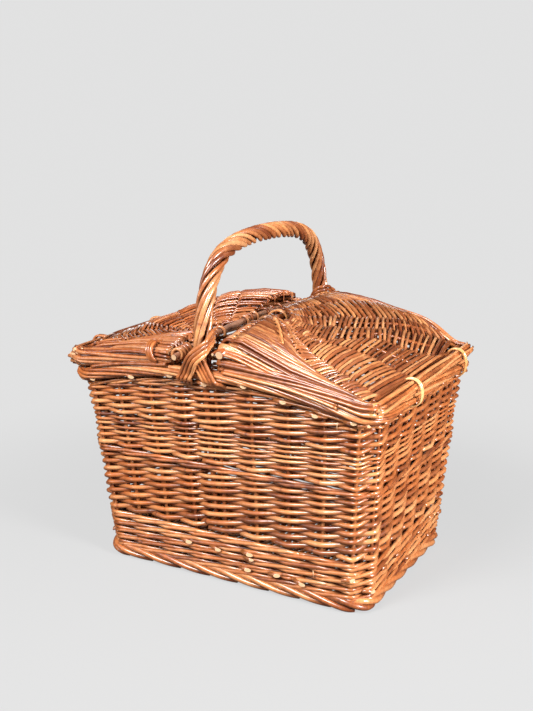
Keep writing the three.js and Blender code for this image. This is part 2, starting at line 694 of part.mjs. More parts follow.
// Middle height of a lid's weave: it meets the roll at the edges and the stick at the seam.
function lidMiddleZ(lid, x, y) {
  const yShare = THREE.MathUtils.clamp(Math.abs(y) / (DOME_SHARE * LID_EDGE_HALF_DEPTH), 0, 1);
  const endX = lid.side * (LID_EDGE_HALF_LENGTH - lid.rollRadii.end);
  const fromEnd = THREE.MathUtils.clamp((endX - x) / (endX - lid.stickX), 0, 1);
  const front = rollRadiusAt(lid, x, -1);
  const back = rollRadiusAt(lid, x, 1);
  const radius = lerp(front, back, THREE.MathUtils.clamp(0.5 + y / (2 * LID_EDGE_HALF_DEPTH), 0, 1));
  const crown = lid.crown * (1 - (1 - fromEnd) ** 2) * (1 - yShare ** 4);
  return seatAt(x, y) + LID_SEAT + radius + crown;
}

function stickZ(lid, y) {
  const ends = [-1, 1].map((ySign) => {
    const radius = rollRadiusAt(lid, lid.stickX, ySign);
    const seat = rollCentreZ(lid.stickX, ySign * (LID_EDGE_HALF_DEPTH - radius), radius);
    return lid.stickOnRoll ? seat + radius + CLEAR + STICK_RADIUS : seat;
  });
  const share = y / LID_EDGE_HALF_DEPTH;
  return lerp(ends[0], ends[1], 0.5 + share / 2) + lid.stickCrown * (1 - share * share);
}

function stickStations(lid, x, radius, halfLength) {
  return Array.from({ length: STICK_STEPS + 1 }, (_, i) => {
    const y = lerp(-halfLength, halfLength, i / STICK_STEPS);
    return { at: new THREE.Vector3(x, y, stickZ(lid, y)), up: Z_AXIS, radius };
  });
}

// Plan of the roll's outer face, from the seam at the front round the end to the seam at the back.
function rollPlan(lid, seamX) {
  const a = LID_EDGE_HALF_LENGTH;
  const b = LID_EDGE_HALF_DEPTH;
  const r = LID_CORNER_RADIUS;
  const path = new THREE.Path();
  path.moveTo(lid.side * seamX, -b);
  path.lineTo(a - r, -b);
  path.absarc(a - r, -b + r, r, -Math.PI / 2, 0, false);
  path.lineTo(a, b - r);
  path.absarc(a - r, b - r, r, 0, Math.PI / 2, false);
  path.lineTo(lid.side * seamX, b);
  return path;
}

function lidRoll(lid) {
  const seamX = lid.stickOnRoll
    ? lid.stickX - lid.side * STICK_RADIUS
    : lid.stickX + lid.side * (STICK_RADIUS + RUNNING);
  const path = rollPlan(lid, seamX);
  const stations = Array.from({ length: ROLL_STEPS + 1 }, (_, i) => {
    const edge = path.getPointAt(i / ROLL_STEPS);
    const tangent = path.getTangentAt(i / ROLL_STEPS);
    const radius = rollRadiusAt(lid, lid.side * edge.x, edge.y);
    const x = lid.side * (edge.x - tangent.y * radius);
    const y = edge.y + tangent.x * radius;
    return { at: new THREE.Vector3(x, y, rollCentreZ(x, y, radius)), up: Z_AXIS, radius };
  });
  return rodThrough(stations, ROLL_SIDES);
}

function lidPanel(lid) {
  const radii = lid.rollRadii;
  const seam = lid.side * lid.stickX + STICK_RADIUS + CLEAR;
  const endX = LID_EDGE_HALF_LENGTH - 2 * radii.end - CLEAR;
  const frontY = -(LID_EDGE_HALF_DEPTH - 2 * Math.max(radii.front, radii.end) - CLEAR);
  const backY = LID_EDGE_HALF_DEPTH - 2 * Math.max(radii.back, radii.end) - CLEAR;
  const corner = LID_CORNER_RADIUS - radii.front;
  const geometry = new THREE.BoxGeometry(1, 1, 1, PANEL_STEPS.along, PANEL_STEPS.across, 1);
  reshape(geometry, (v) => {
    const y = lerp(frontY, backY, 0.5 + Math.sin(Math.PI * v.y) / 2);
    const intoCorner = Math.max(0, corner - Math.min(y - frontY, backY - y));
    const reach = endX - corner + Math.sqrt(Math.max(0, corner * corner - intoCorner * intoCorner));
    const x = lid.side * lerp(seam, reach, v.x + 0.5);
    return new THREE.Vector3(x, y, lidMiddleZ(lid, x, y) + v.z * LID_THICKNESS);
  });
  return lid.side < 0 ? mirrorWinding(geometry) : geometry;
}

// Turns the faces round after a shape was mirrored.
function mirrorWinding(geometry) {
  const index = geometry.index.array;
  for (let i = 0; i < index.length; i += 3) {
    [index[i + 1], index[i + 2]] = [index[i + 2], index[i + 1]];
  }
  geometry.computeVertexNormals();
  return geometry;
}

// Ribs fan out from the front half of the stick under the weave, off a short bar beside the stick.
function ribFan(lid) {
  const rootX = lid.stickX + lid.side * (STICK_RADIUS + RIB_RADIUS + RIB_FROM_STICK);
  const under = LID_THICKNESS / 2 + RIB_SEAT + RIB_RADIUS;
  const endX = lid.side * (LID_EDGE_HALF_LENGTH - 2 * lid.rollRadii.end - RIB_FROM_END);
  const edgeY = LID_EDGE_HALF_DEPTH - 2 * lid.rollRadii.back - RIB_FROM_SIDE;
  const at = (x, y) => new THREE.Vector3(x, y, lidMiddleZ(lid, x, y) - under);
  const rootY = (i) => RIB_ROOT_MIDDLE + (i - (RIB_ANGLES.length - 1) / 2) * RIB_ROOT_SPACING;
  const ribs = RIB_ANGLES.map((degrees, i) => {
    const slope = Math.tan(THREE.MathUtils.degToRad(degrees));
    const run = Math.min(Math.abs(endX - rootX), (edgeY - Math.sign(slope) * rootY(i)) / Math.abs(slope));
    const stations = Array.from({ length: RIB_STEPS + 1 }, (_, k) => {
      const x = rootX + (lid.side * run * k) / RIB_STEPS;
      return { at: at(x, rootY(i) + (slope * run * k) / RIB_STEPS), up: Z_AXIS, radius: RIB_RADIUS };
    });
    return rodThrough(stations, RIB_SIDES);
  });
  const barHalf = (RIB_ANGLES.length * RIB_ROOT_SPACING) / 2;
  const bar = [-1, -1 / 3, 1 / 3, 1].map((share) => ({
    at: at(rootX, RIB_ROOT_MIDDLE + share * barHalf),
    up: Z_AXIS,
    radius: RIB_RADIUS,
  }));
  return joined([rodThrough(bar, RIB_SIDES), ...ribs]);
}

// Willow loop wound round the edge roll, in a groove of the roll.
function edgeLoop(lid) {
  const { x, back } = lid.loop;
  const ySign = back ? 1 : -1;
  const radius = rollRadiusAt(lid, x, ySign);
  const y = ySign * (LID_EDGE_HALF_DEPTH - radius);
  const centre = new THREE.Vector3(x, y, rollCentreZ(x, y, radius) + LOOP_LIFT);
  const rise = rollCentreZ(x + 1, y, radius) - rollCentreZ(x - 1, y, radius);
  const axis = new THREE.Vector3(2, 0, rise).normalize();
  const loopRadius = radius + CLEAR;
  const grooveRadius = loopRadius - LOOP_ROD_RADIUS - LOOP_LIFT - CLEAR;
  const halfWidth = (LOOP_TURNS * LOOP_PITCH) / 2 + LOOP_ROD_RADIUS + 2 * RUNNING;
  const rim = radius + 2 * LOOP_ROD_RADIUS;
  const profile = [
    new THREE.Vector2(grooveRadius, -halfWidth),
    new THREE.Vector2(rim, -halfWidth),
    new THREE.Vector2(rim, halfWidth),
    new THREE.Vector2(grooveRadius, halfWidth),
    new THREE.Vector2(grooveRadius, -halfWidth),
  ];
  const groove = new THREE.LatheGeometry(profile, ROLL_SIDES);
  groove.applyQuaternion(new THREE.Quaternion().setFromUnitVectors(new THREE.Vector3(0, 1, 0), axis));
  groove.translate(centre.x, centre.y, centre.z - LOOP_LIFT);
  const inside = LID_EDGE_HALF_DEPTH - 2 * radius - 2 * LOOP_ROD_RADIUS - 2 * CLEAR;
  const panelNotch = boxBetween(
    new THREE.Vector3(x - halfWidth, Math.min(ySign * inside, y), centre.z - 3 * radius),
    new THREE.Vector3(x + halfWidth, Math.max(ySign * inside, y), centre.z + 3 * radius),
  );
  const rod = { radius: loopRadius, rod: LOOP_ROD_RADIUS, turns: LOOP_TURNS, pitch: LOOP_PITCH };
  const name = `${lid.name}_edge_loop`;
  const loop = winding(name, {
    centre, axis, start: new THREE.Vector3(0, ySign, -1), ...rod, steps: LOOP_STEPS, sides: LOOP_SIDES,
  });
  return { name, loop, groove, panelNotch };
}

function buildLid(lid) {
  const stickHalf = LID_EDGE_HALF_DEPTH + STICK_OVERHANG - 2 * CLEAR;
  const stick = rodThrough(stickStations(lid, lid.stickX, STICK_RADIUS, stickHalf), ROLL_SIDES);
  addNode(`${lid.name}_edge_stick`, stick, DARK_WILLOW);
  const { name, loop, groove, panelNotch } = edgeLoop(lid);
  addNode(name, loop, WILLOW);
  addNode(`${lid.name}_edge_roll`, cut(lidRoll(lid), [groove]), WILLOW);
  const notches = [panelNotch];
  for (const y of lid.hinges) {
    const { centre, radius, rollX, rollZ } = hingePlace(lid, y);
    const inmost = centre.x - lid.side * (radius + CANE_RADIUS + RUNNING);
    notches.push(
      boxBetween(
        new THREE.Vector3(Math.min(rollX, inmost), y - hingeHalfWidth, rollZ - 2 * radius),
        new THREE.Vector3(Math.max(rollX, inmost), y + hingeHalfWidth, rollZ + 2 * radius),
      ),
    );
  }
  if (lid === RIGHT_LID) {
    RIB_TIES_Y.forEach((y, i) => {
      const middle = lid.stickX - INNER_STICK_RADIUS - CLEAR / 2;
      const centre = new THREE.Vector3(middle, y, stickZ(lid, y));
      const radius = (STICK_RADIUS + INNER_STICK_RADIUS + RUNNING) * TIE_OVAL + RIB_TIE_RADIUS;
      const sideRadius = STICK_RADIUS * TIE_OVAL + RIB_TIE_RADIUS + CLEAR;
      const rod = { radius, sideRadius, rod: RIB_TIE_RADIUS, turns: RIB_TIE_TURNS, pitch: RIB_TIE_PITCH };
      const tieName = `${lid.name}_rib_tie_${i + 1}`;
      const place = { centre, axis: new THREE.Vector3(0, 1, 0), start: new THREE.Vector3(1, 0, 0) };
      addNode(
        tieName,
        winding(tieName, { ...place, ...rod, steps: SMALL_LOOP_STEPS, sides: SMALL_LOOP_SIDES }),
        PALE_WILLOW,
      );
      const halfWidth = (RIB_TIE_TURNS * RIB_TIE_PITCH) / 2 + RIB_TIE_RADIUS + RUNNING;
      const out = radius + RIB_TIE_RADIUS + RUNNING;
      notches.push(
        boxBetween(
          new THREE.Vector3(middle, y - halfWidth, centre.z - 2 * out),
          new THREE.Vector3(middle + out, y + halfWidth, centre.z + 2 * out),
        ),
      );
    });
    const innerX = lid.stickX - STICK_RADIUS - INNER_STICK_RADIUS - CLEAR;
    addNode(
      `${lid.name}_inner_stick`,
      rodThrough(stickStations(lid, innerX, INNER_STICK_RADIUS, stickHalf), ROD_SIDES),
      DARK_WILLOW,
    );
  }
  addNode(`${lid.name}_weave`, cut(lidPanel(lid), notches), WILLOW);
  addNode(`${lid.name}_rib_fan`, ribFan(lid), PALE_WILLOW);
}
buildLid(LEFT_LID);
buildLid(RIGHT_LID);

console.log(`least gap of each winding to itself, mm: ${windingGaps.join(", ")}`);

export default basket;
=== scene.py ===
import math

import bmesh
import bpy
import numpy as np
from mathutils import Matrix, Vector


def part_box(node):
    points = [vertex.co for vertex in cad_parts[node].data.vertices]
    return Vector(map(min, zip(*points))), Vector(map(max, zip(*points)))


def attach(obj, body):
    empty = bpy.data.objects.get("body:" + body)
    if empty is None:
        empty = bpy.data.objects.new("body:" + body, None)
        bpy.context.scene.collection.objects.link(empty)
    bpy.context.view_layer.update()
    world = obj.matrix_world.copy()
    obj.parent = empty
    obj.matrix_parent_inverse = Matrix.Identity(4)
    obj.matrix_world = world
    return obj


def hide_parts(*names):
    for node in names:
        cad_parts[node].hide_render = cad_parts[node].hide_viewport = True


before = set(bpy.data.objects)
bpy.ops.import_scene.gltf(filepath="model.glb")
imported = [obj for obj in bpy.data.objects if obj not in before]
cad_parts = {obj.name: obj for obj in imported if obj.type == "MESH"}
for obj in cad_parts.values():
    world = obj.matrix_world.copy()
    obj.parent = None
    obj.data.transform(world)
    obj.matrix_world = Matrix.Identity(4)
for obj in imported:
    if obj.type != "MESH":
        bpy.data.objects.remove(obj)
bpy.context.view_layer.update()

scene = bpy.context.scene
mm = 0.001
print("frame loaded")


def placed(name, data):
    made = bpy.data.objects.new(name, data)
    scene.collection.objects.link(made)
    return made


# Camera, at the photograph's viewing angle

cameraView = {
    "place": (0.6328, -1.1651, 0.5994),
    "azimuth": 29.136,
    "pitch": 13.503,
    "lens": 50.19,
    "sensor": 36,
}


def makeCamera(view):
    data = bpy.data.cameras.new("camera")
    data.lens, data.sensor_width = view["lens"], view["sensor"]
    eye = placed("camera", data)
    turn, tilt = math.radians(view["azimuth"]), math.radians(view["pitch"])
    back = Vector((math.sin(turn) * math.cos(tilt), -math.cos(turn) * math.cos(tilt), math.sin(tilt)))
    eye.location = view["place"]
    eye.rotation_mode = "QUATERNION"
    eye.rotation_quaternion = (-back).to_track_quat("-Z", "Y")
    scene.camera = eye


makeCamera(cameraView)


# Shape of the body, in millimetres. It is drawn at rim size and leans in towards the foot.

basket = {
    "rimHalf": (220, 166),
    "footHalf": (198.5, 136.5),
    "cornerCut": 22,
    "rimHeight": 257,
    "riseFront": 26,
    "riseBack": 34,
    "stakeInset": 8,  # from the wall's outside to the stakes
    "longStakes": 7,
    "longSpacing": 50.25,
    "shortStakes": 5,
    "shortSpacing": 49,
    "borderHeight": 18,
    "borderLeftGain": 5,
    "borderBackGain": 3,
    "topWale": 7,
}


def rimAt(x, y):
    along = np.minimum(1, np.abs(x) / (basket["rimHalf"][0] - basket["cornerCut"]))
    back = np.clip(0.5 + y / (2 * basket["rimHalf"][1]), 0, 1)
    rise = basket["riseFront"] + (basket["riseBack"] - basket["riseFront"]) * back
    return basket["rimHeight"] + rise * (1 - along * along)


def borderHeightAt(x, y):
    left = basket["borderLeftGain"] * x / basket["rimHalf"][0]
    return basket["borderHeight"] - left + basket["borderBackGain"] * y / basket["rimHalf"][1]


def squeezed(value, axis, z):
    inward = (basket["rimHalf"][axis] - basket["footHalf"][axis]) * (1 - z / basket["rimHeight"])
    flat = basket["rimHalf"][axis] - basket["cornerCut"]
    size = np.abs(value)
    return np.sign(value) * np.where(size < flat, size * (flat - inward) / flat, size - inward)


def leaned(x, y, z):
    x, y, z = np.broadcast_arrays(np.asarray(x, float), np.asarray(y, float), np.asarray(z, float))
    return np.stack([squeezed(x, 0, z), squeezed(y, 1, z), z], -1)


def seatAt(x, y):
    top = rimAt(x, y) + borderHeightAt(x, y)
    drawnX, drawnY = 2 * x - squeezed(x, 0, top), 2 * y - squeezed(y, 1, top)
    return rimAt(drawnX, drawnY) + borderHeightAt(drawnX, drawnY)


def evenSpots(count, spacing):
    return [(i - (count - 1) / 2) * spacing for i in range(count)]


def stakeRing():
    inset = basket["stakeInset"]
    a, b = basket["rimHalf"][0] - inset, basket["rimHalf"][1] - inset
    cut = basket["cornerCut"] - inset * (2 - math.sqrt(2))
    s, c = math.sin(math.pi / 8), math.cos(math.pi / 8)
    ring = [(-(a - cut), -b, -s, -c)]
    ring += [(x, -b, 0, -1) for x in evenSpots(basket["longStakes"], basket["longSpacing"])]
    ring += [(a - cut, -b, s, -c), (a, -(b - cut), c, -s)]
    ring += [(a, y, 1, 0) for y in evenSpots(basket["shortStakes"], basket["shortSpacing"])]
    half = np.array([*ring, (a, b - cut, c, s)])
    return np.concatenate([half, -half])


stakes = stakeRing()
stakeCount = len(stakes)


def unit(rows):
    return rows / np.linalg.norm(rows, axis=-1, keepdims=True)


def curved(p0, p1, p2, p3, u):
    # Catmull-Rom line from p1 to p2
    bend, twist = 2 * p0 - 5 * p1 + 4 * p2 - p3, 3 * p1 - p0 - 3 * p2 + p3
    return (2 * p1 + (p2 - p0) * u + bend * u**2 + twist * u**3) / 2


def onWall(t, out, z):
    # A point of the side: t counts stakes anticlockwise from the front left, out is away from their line
    t = np.asarray(t, float)
    k = np.floor(t).astype(int)
    share = (t - k)[..., None]
    spot = stakes[k % stakeCount] * (1 - share) + stakes[(k + 1) % stakeCount] * share
    plan = spot[..., :2] + unit(spot[..., 2:]) * np.asarray(out, float)[..., None]
    return leaned(plan[..., 0], plan[..., 1], z)


def onRim(t):
    # Smooth line round the stakes, with its outward direction
    t = np.asarray(t, float)
    k = np.floor(t).astype(int)
    spot = curved(*(stakes[(k + i) % stakeCount] for i in (-1, 0, 1, 2)), (t - k)[..., None])
    return spot[..., :2], unit(spot[..., 2:])


def rimOver(t):
    plan = onWall(t, np.zeros(len(t)), np.full(len(t), float(basket["rimHeight"])))
    return rimAt(plan[:, 0], plan[:, 1])


# Rods: every willow rod is one spline, and a piece is made of many

chance = np.random.default_rng(7)


def jitter(share):
    return 1 + share * chance.standard_normal()


def wave(look, place, count=0):
    # look holds the height of the wave, its length divided by 2 pi, and how far it turns from rod to rod
    height, length, turn = look
    return height * np.sin(place / length + turn * count)


def smoothLine(keys, steps):
    # Catmull-Rom line through the keys, with this many steps between two of them
    keys = np.asarray(keys, float)
    padded = np.concatenate([[2 * keys[0] - keys[1]], keys, [2 * keys[-1] - keys[-2]]])
    u = np.linspace(0, 1, steps, endpoint=False)[:, None]
    parts = [curved(*four, u) for four in zip(padded, padded[1:], padded[2:], padded[3:])]
    return np.concatenate([*parts, keys[-1:]])


def reachAlong(points):
    return np.concatenate([[0], np.cumsum(np.linalg.norm(np.diff(points, axis=0), axis=1))])


def rod(points, thick, tip=None, shade=None, pale=(False, False), paintedShade=0.0):
    # thick and tip are radii, and pale says which ends show as fresh cuts. The last argument is painted
    # shade, from 0 to 1:
    # it darkens the lengths that lie deep in the weave
    points = np.asarray(points, float)
    count = len(points)
    radii = np.broadcast_to(thick, count) if tip is None else np.linspace(thick, tip, count)
    shade = chance.random() if shade is None else shade
    paintedShade = np.broadcast_to(paintedShade, count)
    return {"points": points, "radii": np.asarray(radii, float), "shade": shade, "pale": pale, "paintedShade": paintedShade}


def tubesOf(name, rods, rounding):
    maker = bpy.data.curves.new(name, "CURVE")
    maker.dimensions = "3D"
    maker.bevel_depth = mm
    maker.bevel_resolution = rounding
    maker.use_fill_caps = True
    for item in rods:
        spline = maker.splines.new("POLY")
        spline.points.add(len(item["points"]) - 1)
        places = np.ones((len(item["points"]), 4))
        places[:, :3] = item["points"] * mm
        spline.points.foreach_set("co", places.ravel())
        spline.points.foreach_set("radius", item["radii"])
    former = bpy.data.objects.new(name + "Curve", maker)
    mesh = bpy.data.meshes.new_from_object(former)
    bpy.data.objects.remove(former)
    bpy.data.curves.remove(maker)
    return mesh


def closeMesh(mesh):
    shell = bmesh.new()
    shell.from_mesh(mesh)
    bmesh.ops.remove_doubles(shell, verts=shell.verts, dist=1e-7)
    bmesh.ops.recalc_face_normals(shell, faces=shell.faces)
    shell.to_mesh(mesh)
    shell.free()


def rodPiece(name, rods, body, slot, materials, replaced=(), rounding=2, shadeOf=None):
    mesh = tubesOf(name, rods, rounding)
    ring = 2 * (rounding + 2)
    # The end caps come first, last rod first; then the tubes in order
    reaches = [reachAlong(item["points"]) * mm for item in rods]
    shades, alongs, paintedShades, pales = [], [], [], []
    for item, reach in zip(rods[::-1], reaches[::-1]):
        shades.append(np.full(2 * ring, item["shade"]))
        alongs.append(np.repeat([reach[-1], 0], ring))
        paintedShades.append(np.zeros(2 * ring))
        pales += [item["pale"][1]] * (ring - 2) + [item["pale"][0]] * (ring - 2)
    for item, reach in zip(rods, reaches):
        shades.append(np.full(len(reach) * ring, item["shade"]))
        alongs.append(np.repeat(reach, ring))
        paintedShades.append(np.repeat(item["paintedShade"], ring))
    # shade is each rod's own tone; the third mark is painted shade, for the lengths deep in the weave
    marks = {"shade": np.concatenate(shades), "along": np.concatenate(alongs), "paintedShade": np.concatenate(paintedShades)}
    # A function of the vertices' places may add more painted shade, as in the rope's creases
    if shadeOf:
        places = np.empty(3 * len(mesh.vertices))
        mesh.vertices.foreach_get("co", places)
        marks["paintedShade"] = np.maximum(marks["paintedShade"], shadeOf(places.reshape(-1, 3) / mm))
    for key, values in marks.items():
        if len(values) != len(mesh.vertices):
            raise RuntimeError(f"{name}: {len(mesh.vertices)} vertices where {len(values)} were expected")
        mesh.attributes.new(key, "FLOAT", "POINT").data.foreach_set("value", values)
    slots = np.zeros(len(mesh.polygons), int)
    slots[: len(pales)] = pales
    for material in materials:
        mesh.materials.append(material)
    mesh.polygons.foreach_set("material_index", slots)
    mesh.polygons.foreach_set("use_smooth", np.arange(len(slots)) >= len(pales))
    closeMesh(mesh)
    piece = placed(name, mesh)
    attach(piece, body)
    if replaced:
        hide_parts(*replaced)
    print(f"{name}: {len(rods)} rods, {sum(len(p.vertices) - 2 for p in mesh.polygons)} triangles")
    return piece


# Materials

class Wire:
    # An output of a shader node, to be added and multiplied like a number
    def __init__(self, tree, socket):
        self.tree, self.socket = tree, socket

    def node(self, kind, settings=None, out=0, **inputs):
        made = self.tree.nodes.new("ShaderNode" + kind)
        ramp = (settings or {}).pop("stops", None)
        for key, value in (settings or {}).items():
            setattr(made, key, value)
        if ramp:
            while len(made.color_ramp.elements) < len(ramp):
                made.color_ramp.elements.new(0.5)
            for element, (position, colour) in zip(made.color_ramp.elements, ramp):
                element.position, element.color = position, (*colour, 1)
        for key, value in inputs.items():
            numbered = key[0] == "i" and key[1:].isdigit()
            socket = made.inputs[int(key[1:]) if numbered else key.replace("_", " ")]
            if isinstance(value, Wire):
                self.tree.links.new(value.socket, socket)
            else:
                socket.default_value = value
        return Wire(self.tree, made.outputs[out])

    def feed(self, socket):
        self.tree.links.new(self.socket, socket)

    def math(self, operation, other=0.0, clamp=False):
        return self.node("Math", {"operation": operation, "use_clamp": clamp}, i0=self, i1=other)

    def __add__(self, other):
        return self.math("ADD", other)

    def __mul__(self, other):
        return self.math("MULTIPLY", other)

    def __sub__(self, other):
        return self.math("SUBTRACT", other)

    def __rsub__(self, other):
        return self.node("Math", {"operation": "SUBTRACT"}, i0=other, i1=self)

    def __truediv__(self, other):
        return self.math("DIVIDE", other)

    def between(self, low, high):
        settings = {"interpolation_type": "SMOOTHSTEP"}
        return self.node("MapRange", settings, Value=self, From_Min=low, From_Max=high)

    def blend(self, colourA, colourB, kind="MIX"):
        settings = {"data_type": "RGBA", "blend_type": kind}
        return self.node("Mix", settings, out=2, i0=self, i6=colourA, i7=colourB)


def newMaterial(name):
    material = bpy.data.materials.new(name)
    material.use_nodes = True
    tree = material.node_tree
    shader = tree.nodes["Principled BSDF"]
    return material, shader, Wire(tree, None)


# Of each kind of rod: its dark, middle and light colour, and the tone it has on average
willowLooks = {
    "willow": ((0.13, 0.03, 0.009), (0.4, 0.13, 0.04), (0.64, 0.3, 0.125), 0.5),
    "darkWillow": ((0.09, 0.018, 0.005), (0.3, 0.085, 0.024), (0.52, 0.24, 0.11), 0.52),
    "paleWillow": ((0.14, 0.034, 0.009), (0.44, 0.15, 0.044), (0.68, 0.32, 0.13), 0.54),
    # the next colours are willow painted darker, as shade for the handle rope that the key light hits full
    # on; the right lid's weave uses them too
    "shadedWillow": ((0.11, 0.024, 0.008), (0.28, 0.09, 0.03), (0.58, 0.28, 0.12), 0.5),
    "barkWillow": ((0.05, 0.018, 0.01), (0.3, 0.14, 0.085), (0.5, 0.3, 0.2), 0.55),
    "splitCane": ((0.4, 0.2, 0.07), (0.62, 0.38, 0.15), (0.75, 0.52, 0.25), 0.55),
}
rodLook = {
    "offset": 57.0,  # of the patterns from rod to rod
    # along is per metre of rod
    "streaks": {"along": 26, "round": 1.6, "noise": {"Scale": 2.2, "Detail": 4.0, "Roughness": 0.62}},
    "blotches": {"along": 9, "round": 0.35, "noise": {"Scale": 1.4, "Detail": 2.0, "Roughness": 0.5}},
    "speckle": {"Scale": 900.0, "Detail": 2.0, "Roughness": 0.6},
    "scars": {"spacing": 0.085, "shift": 9.0, "width": 0.035, "round": (0.1, 0.9)},  # of side shoots
    "tones": {"blotches": 0.6, "streaks": 1.0, "shade": 0.66, "speckle": 0.12, "scars": 0.35},
    "middle": 0.48,  # the tone of the middle colour
    "warm": {"scale": 0.8, "between": (0.35, 0.7), "colour": (1.0, 0.86, 0.72, 1)},
    # painted shade: the colour is multiplied by this where a rod lies deep in the weave
    "inShade": (0.3, 0.17, 0.12, 1),  # multiplies the colour deep in the weave
    "rough": {"least": 0.24, "dark": 0.16, "speckle": 0.1},
    "coat": {"weight": 0.6, "inShade": 0.5, "roughness": 0.2},
    "bump": {"streaks": 0.7, "speckle": 0.2, "scars": 0.6, "strength": 0.35, "distance": 0.0006},
}


def willowMaterial(name, look):
    material, shader, base = newMaterial(name)
    marks = ("shade", "along", "paintedShade")
    shade, along, paintedShade = (base.node("Attribute", {"attribute_name": mark}, out=2) for mark in marks)
    turn = base.node("SeparateXYZ", i0=base.node("UVMap", {"uv_map": "UVMap"})) * (2 * math.pi)
    round1, round2 = turn.math("COSINE"), turn.math("SINE")
    offset = shade * rodLook["offset"]
    streak, blotch, scar = rodLook["streaks"], rodLook["blotches"], rodLook["scars"]
    streakZ = along * streak["along"] + offset
    streakAt = base.node("CombineXYZ", X=round1 * streak["round"], Y=round2 * streak["round"], Z=streakZ)
    streaks = base.node("TexNoise", Vector=streakAt, **streak["noise"])
    blotchAt = base.node("CombineXYZ", X=round1 * blotch["round"], Y=offset, Z=along * blotch["along"])
    blotches = base.node("TexNoise", Vector=blotchAt, **blotch["noise"])
    speckle = base.node("TexNoise", Vector=base.node("TexCoord", out=3), **rodLook["speckle"])
    phase = (along / scar["spacing"] + shade * scar["shift"]).math("FRACT")
    scars = (phase - 0.5).math("ABSOLUTE").between(scar["width"], 0.0) * round1.between(*scar["round"])
    tones = rodLook["tones"]
    tone = (blotches - 0.5) * tones["blotches"] + (streaks - 0.5) * tones["streaks"]
    tone = tone + (shade - 0.5) * tones["shade"] + (speckle - 0.5) * tones["speckle"] + look[3]
    tone = (tone - scars * tones["scars"]).math("ADD", 0.0, clamp=True)
    stops = list(zip((0.0, rodLook["middle"], 1.0), look[:3]))
    colour = base.node("ValToRGB", {"stops": stops}, Fac=tone)
    warm = base.node("TexNoise", Vector=blotchAt, Scale=rodLook["warm"]["scale"], Detail=1.0)
    colour = warm.between(*rodLook["warm"]["between"]).blend(colour, rodLook["warm"]["colour"], "MULTIPLY")
    # Painted shade: the colour darkens where a rod lies deep in the weave
    paintedShade.blend(colour, rodLook["inShade"], "MULTIPLY").feed(shader.inputs["Base Color"])
    rough, coat, bump = rodLook["rough"], rodLook["coat"], rodLook["bump"]
    roughness = (1 - tone) * rough["dark"] + (speckle - 0.5) * rough["speckle"] + rough["least"]
    roughness.feed(shader.inputs["Roughness"])
    (coat["weight"] - paintedShade * coat["inShade"]).feed(shader.inputs["Coat Weight"])
    height = streaks * bump["streaks"] + speckle * bump["speckle"] + scars * bump["scars"]
    relief = base.node("Bump", Height=height, Strength=bump["strength"], Distance=bump["distance"])
    relief.feed(shader.inputs["Normal"])
    shader.inputs["Coat Roughness"].default_value = coat["roughness"]
    shader.inputs["Specular IOR Level"].default_value = 0.5
    return material


pithLook = {
    "grain": 1400.0,
    "stops": [(0.25, (0.42, 0.22, 0.11)), (0.55, (0.62, 0.39, 0.22)), (0.9, (0.74, 0.53, 0.33))],
    "roughness": 0.7,
}


def pithMaterial():
    material, shader, base = newMaterial("cutPith")
    grain = base.node("TexNoise", Vector=base.node("TexCoord", out=3), Scale=pithLook["grain"], Detail=3.0)
    colour = base.node("ValToRGB", {"stops": pithLook["stops"]}, Fac=grain)
    colour.feed(shader.inputs["Base Color"])
    shader.inputs["Roughness"].default_value = pithLook["roughness"]
    return material


pith = pithMaterial()
coats = {name: [willowMaterial(name, look), pith] for name, look in willowLooks.items()}
print("materials made")


# Stakes

stakeLook = {
    "radius": 2.5,
    "taper": (1.08, 0.86),
    "bottom": 14,
    "overRim": 4,
    "steps": 14,
    "sway": (0.7 / 50, 31, 2.1),  # in stakes
    # painted shade along the whole stake, which stands back in the gaps of the weave
    "paintedShade": 0.6,
}


def stakeRods():
    rods = []
    for k in range(stakeCount):
        top = float(rimAt(stakes[k][0], stakes[k][1])) + stakeLook["overRim"]
        z = np.linspace(stakeLook["bottom"], top, stakeLook["steps"])
        points = onWall(k + wave(stakeLook["sway"], z, k), 0 * z, z)
        thick, tip = (stakeLook["radius"] * share for share in stakeLook["taper"])
        rods.append(rod(points, thick, tip, paintedShade=stakeLook["paintedShade"]))
    return rods


cornerNodes = [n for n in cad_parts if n.endswith("_side_stake")]
rodPiece("sideStakes", stakeRods(), "basket", "willow", coats["willow"], cornerNodes)


# Siding: French randing. Every rod goes in front of one stake and behind the next, and climbs one row in two
# stakes.

siding = {
    "steps": 6,
    "run": (-0.5, 0.35),  # in stakes: where a rod starts at its first stake, and ends at its last one
    "thickness": 0.272,  # rod radius as a share of the height of its row
    "uneven": 0.07,
    "contact": 0.92,  # how closely a rod lies on a stake
    "offLevel": 0.35,
    "wander": 0.5,
    "waves": [(0.6, 1.7, 0.05, 1), (0.4, 0.63, -0.021, 2.3)],  # share, per stake, per millimetre up, phase
    "phase": 0.4,
    "straight": 0.78,  # 0 bends evenly, 1 runs straight from stake to stake
    # the bow's legs stand beside a stake and count as one with it
    "legs": [3, 3.56, 4, 18, 18.64, 19],
    "held": [3, 4, 4, 18, 19, 19],
    # painted shade on the lengths that pass behind the stakes
    "paintedShade": 0.7,
    "shown": (0.62, 0.75),  # how much of a rod shows at the stakes' line, and how much more outside it
    "underWale": 1.5,
    "tip": ([0, 4], [0.75, 1]),  # steps from the end that the wale cuts off, and share of the thickness there
    "lower": [70.5, 82, 94, 105.5, 117, 128, 138.5, 148.5, 157.5],
    "upperFine": [166.5, 177.5, 186.5, 195, 201.5, 208, 214.5],
    "upper": [214.5, 224, 234.5, 245, 254, 262, 270, 277, 284],
}


def wander(t, z, phase):
    waves = [share * np.sin(turn * t + z * up + lag * phase) for share, turn, up, lag in siding["waves"]]
    return siding["wander"] * sum(waves)


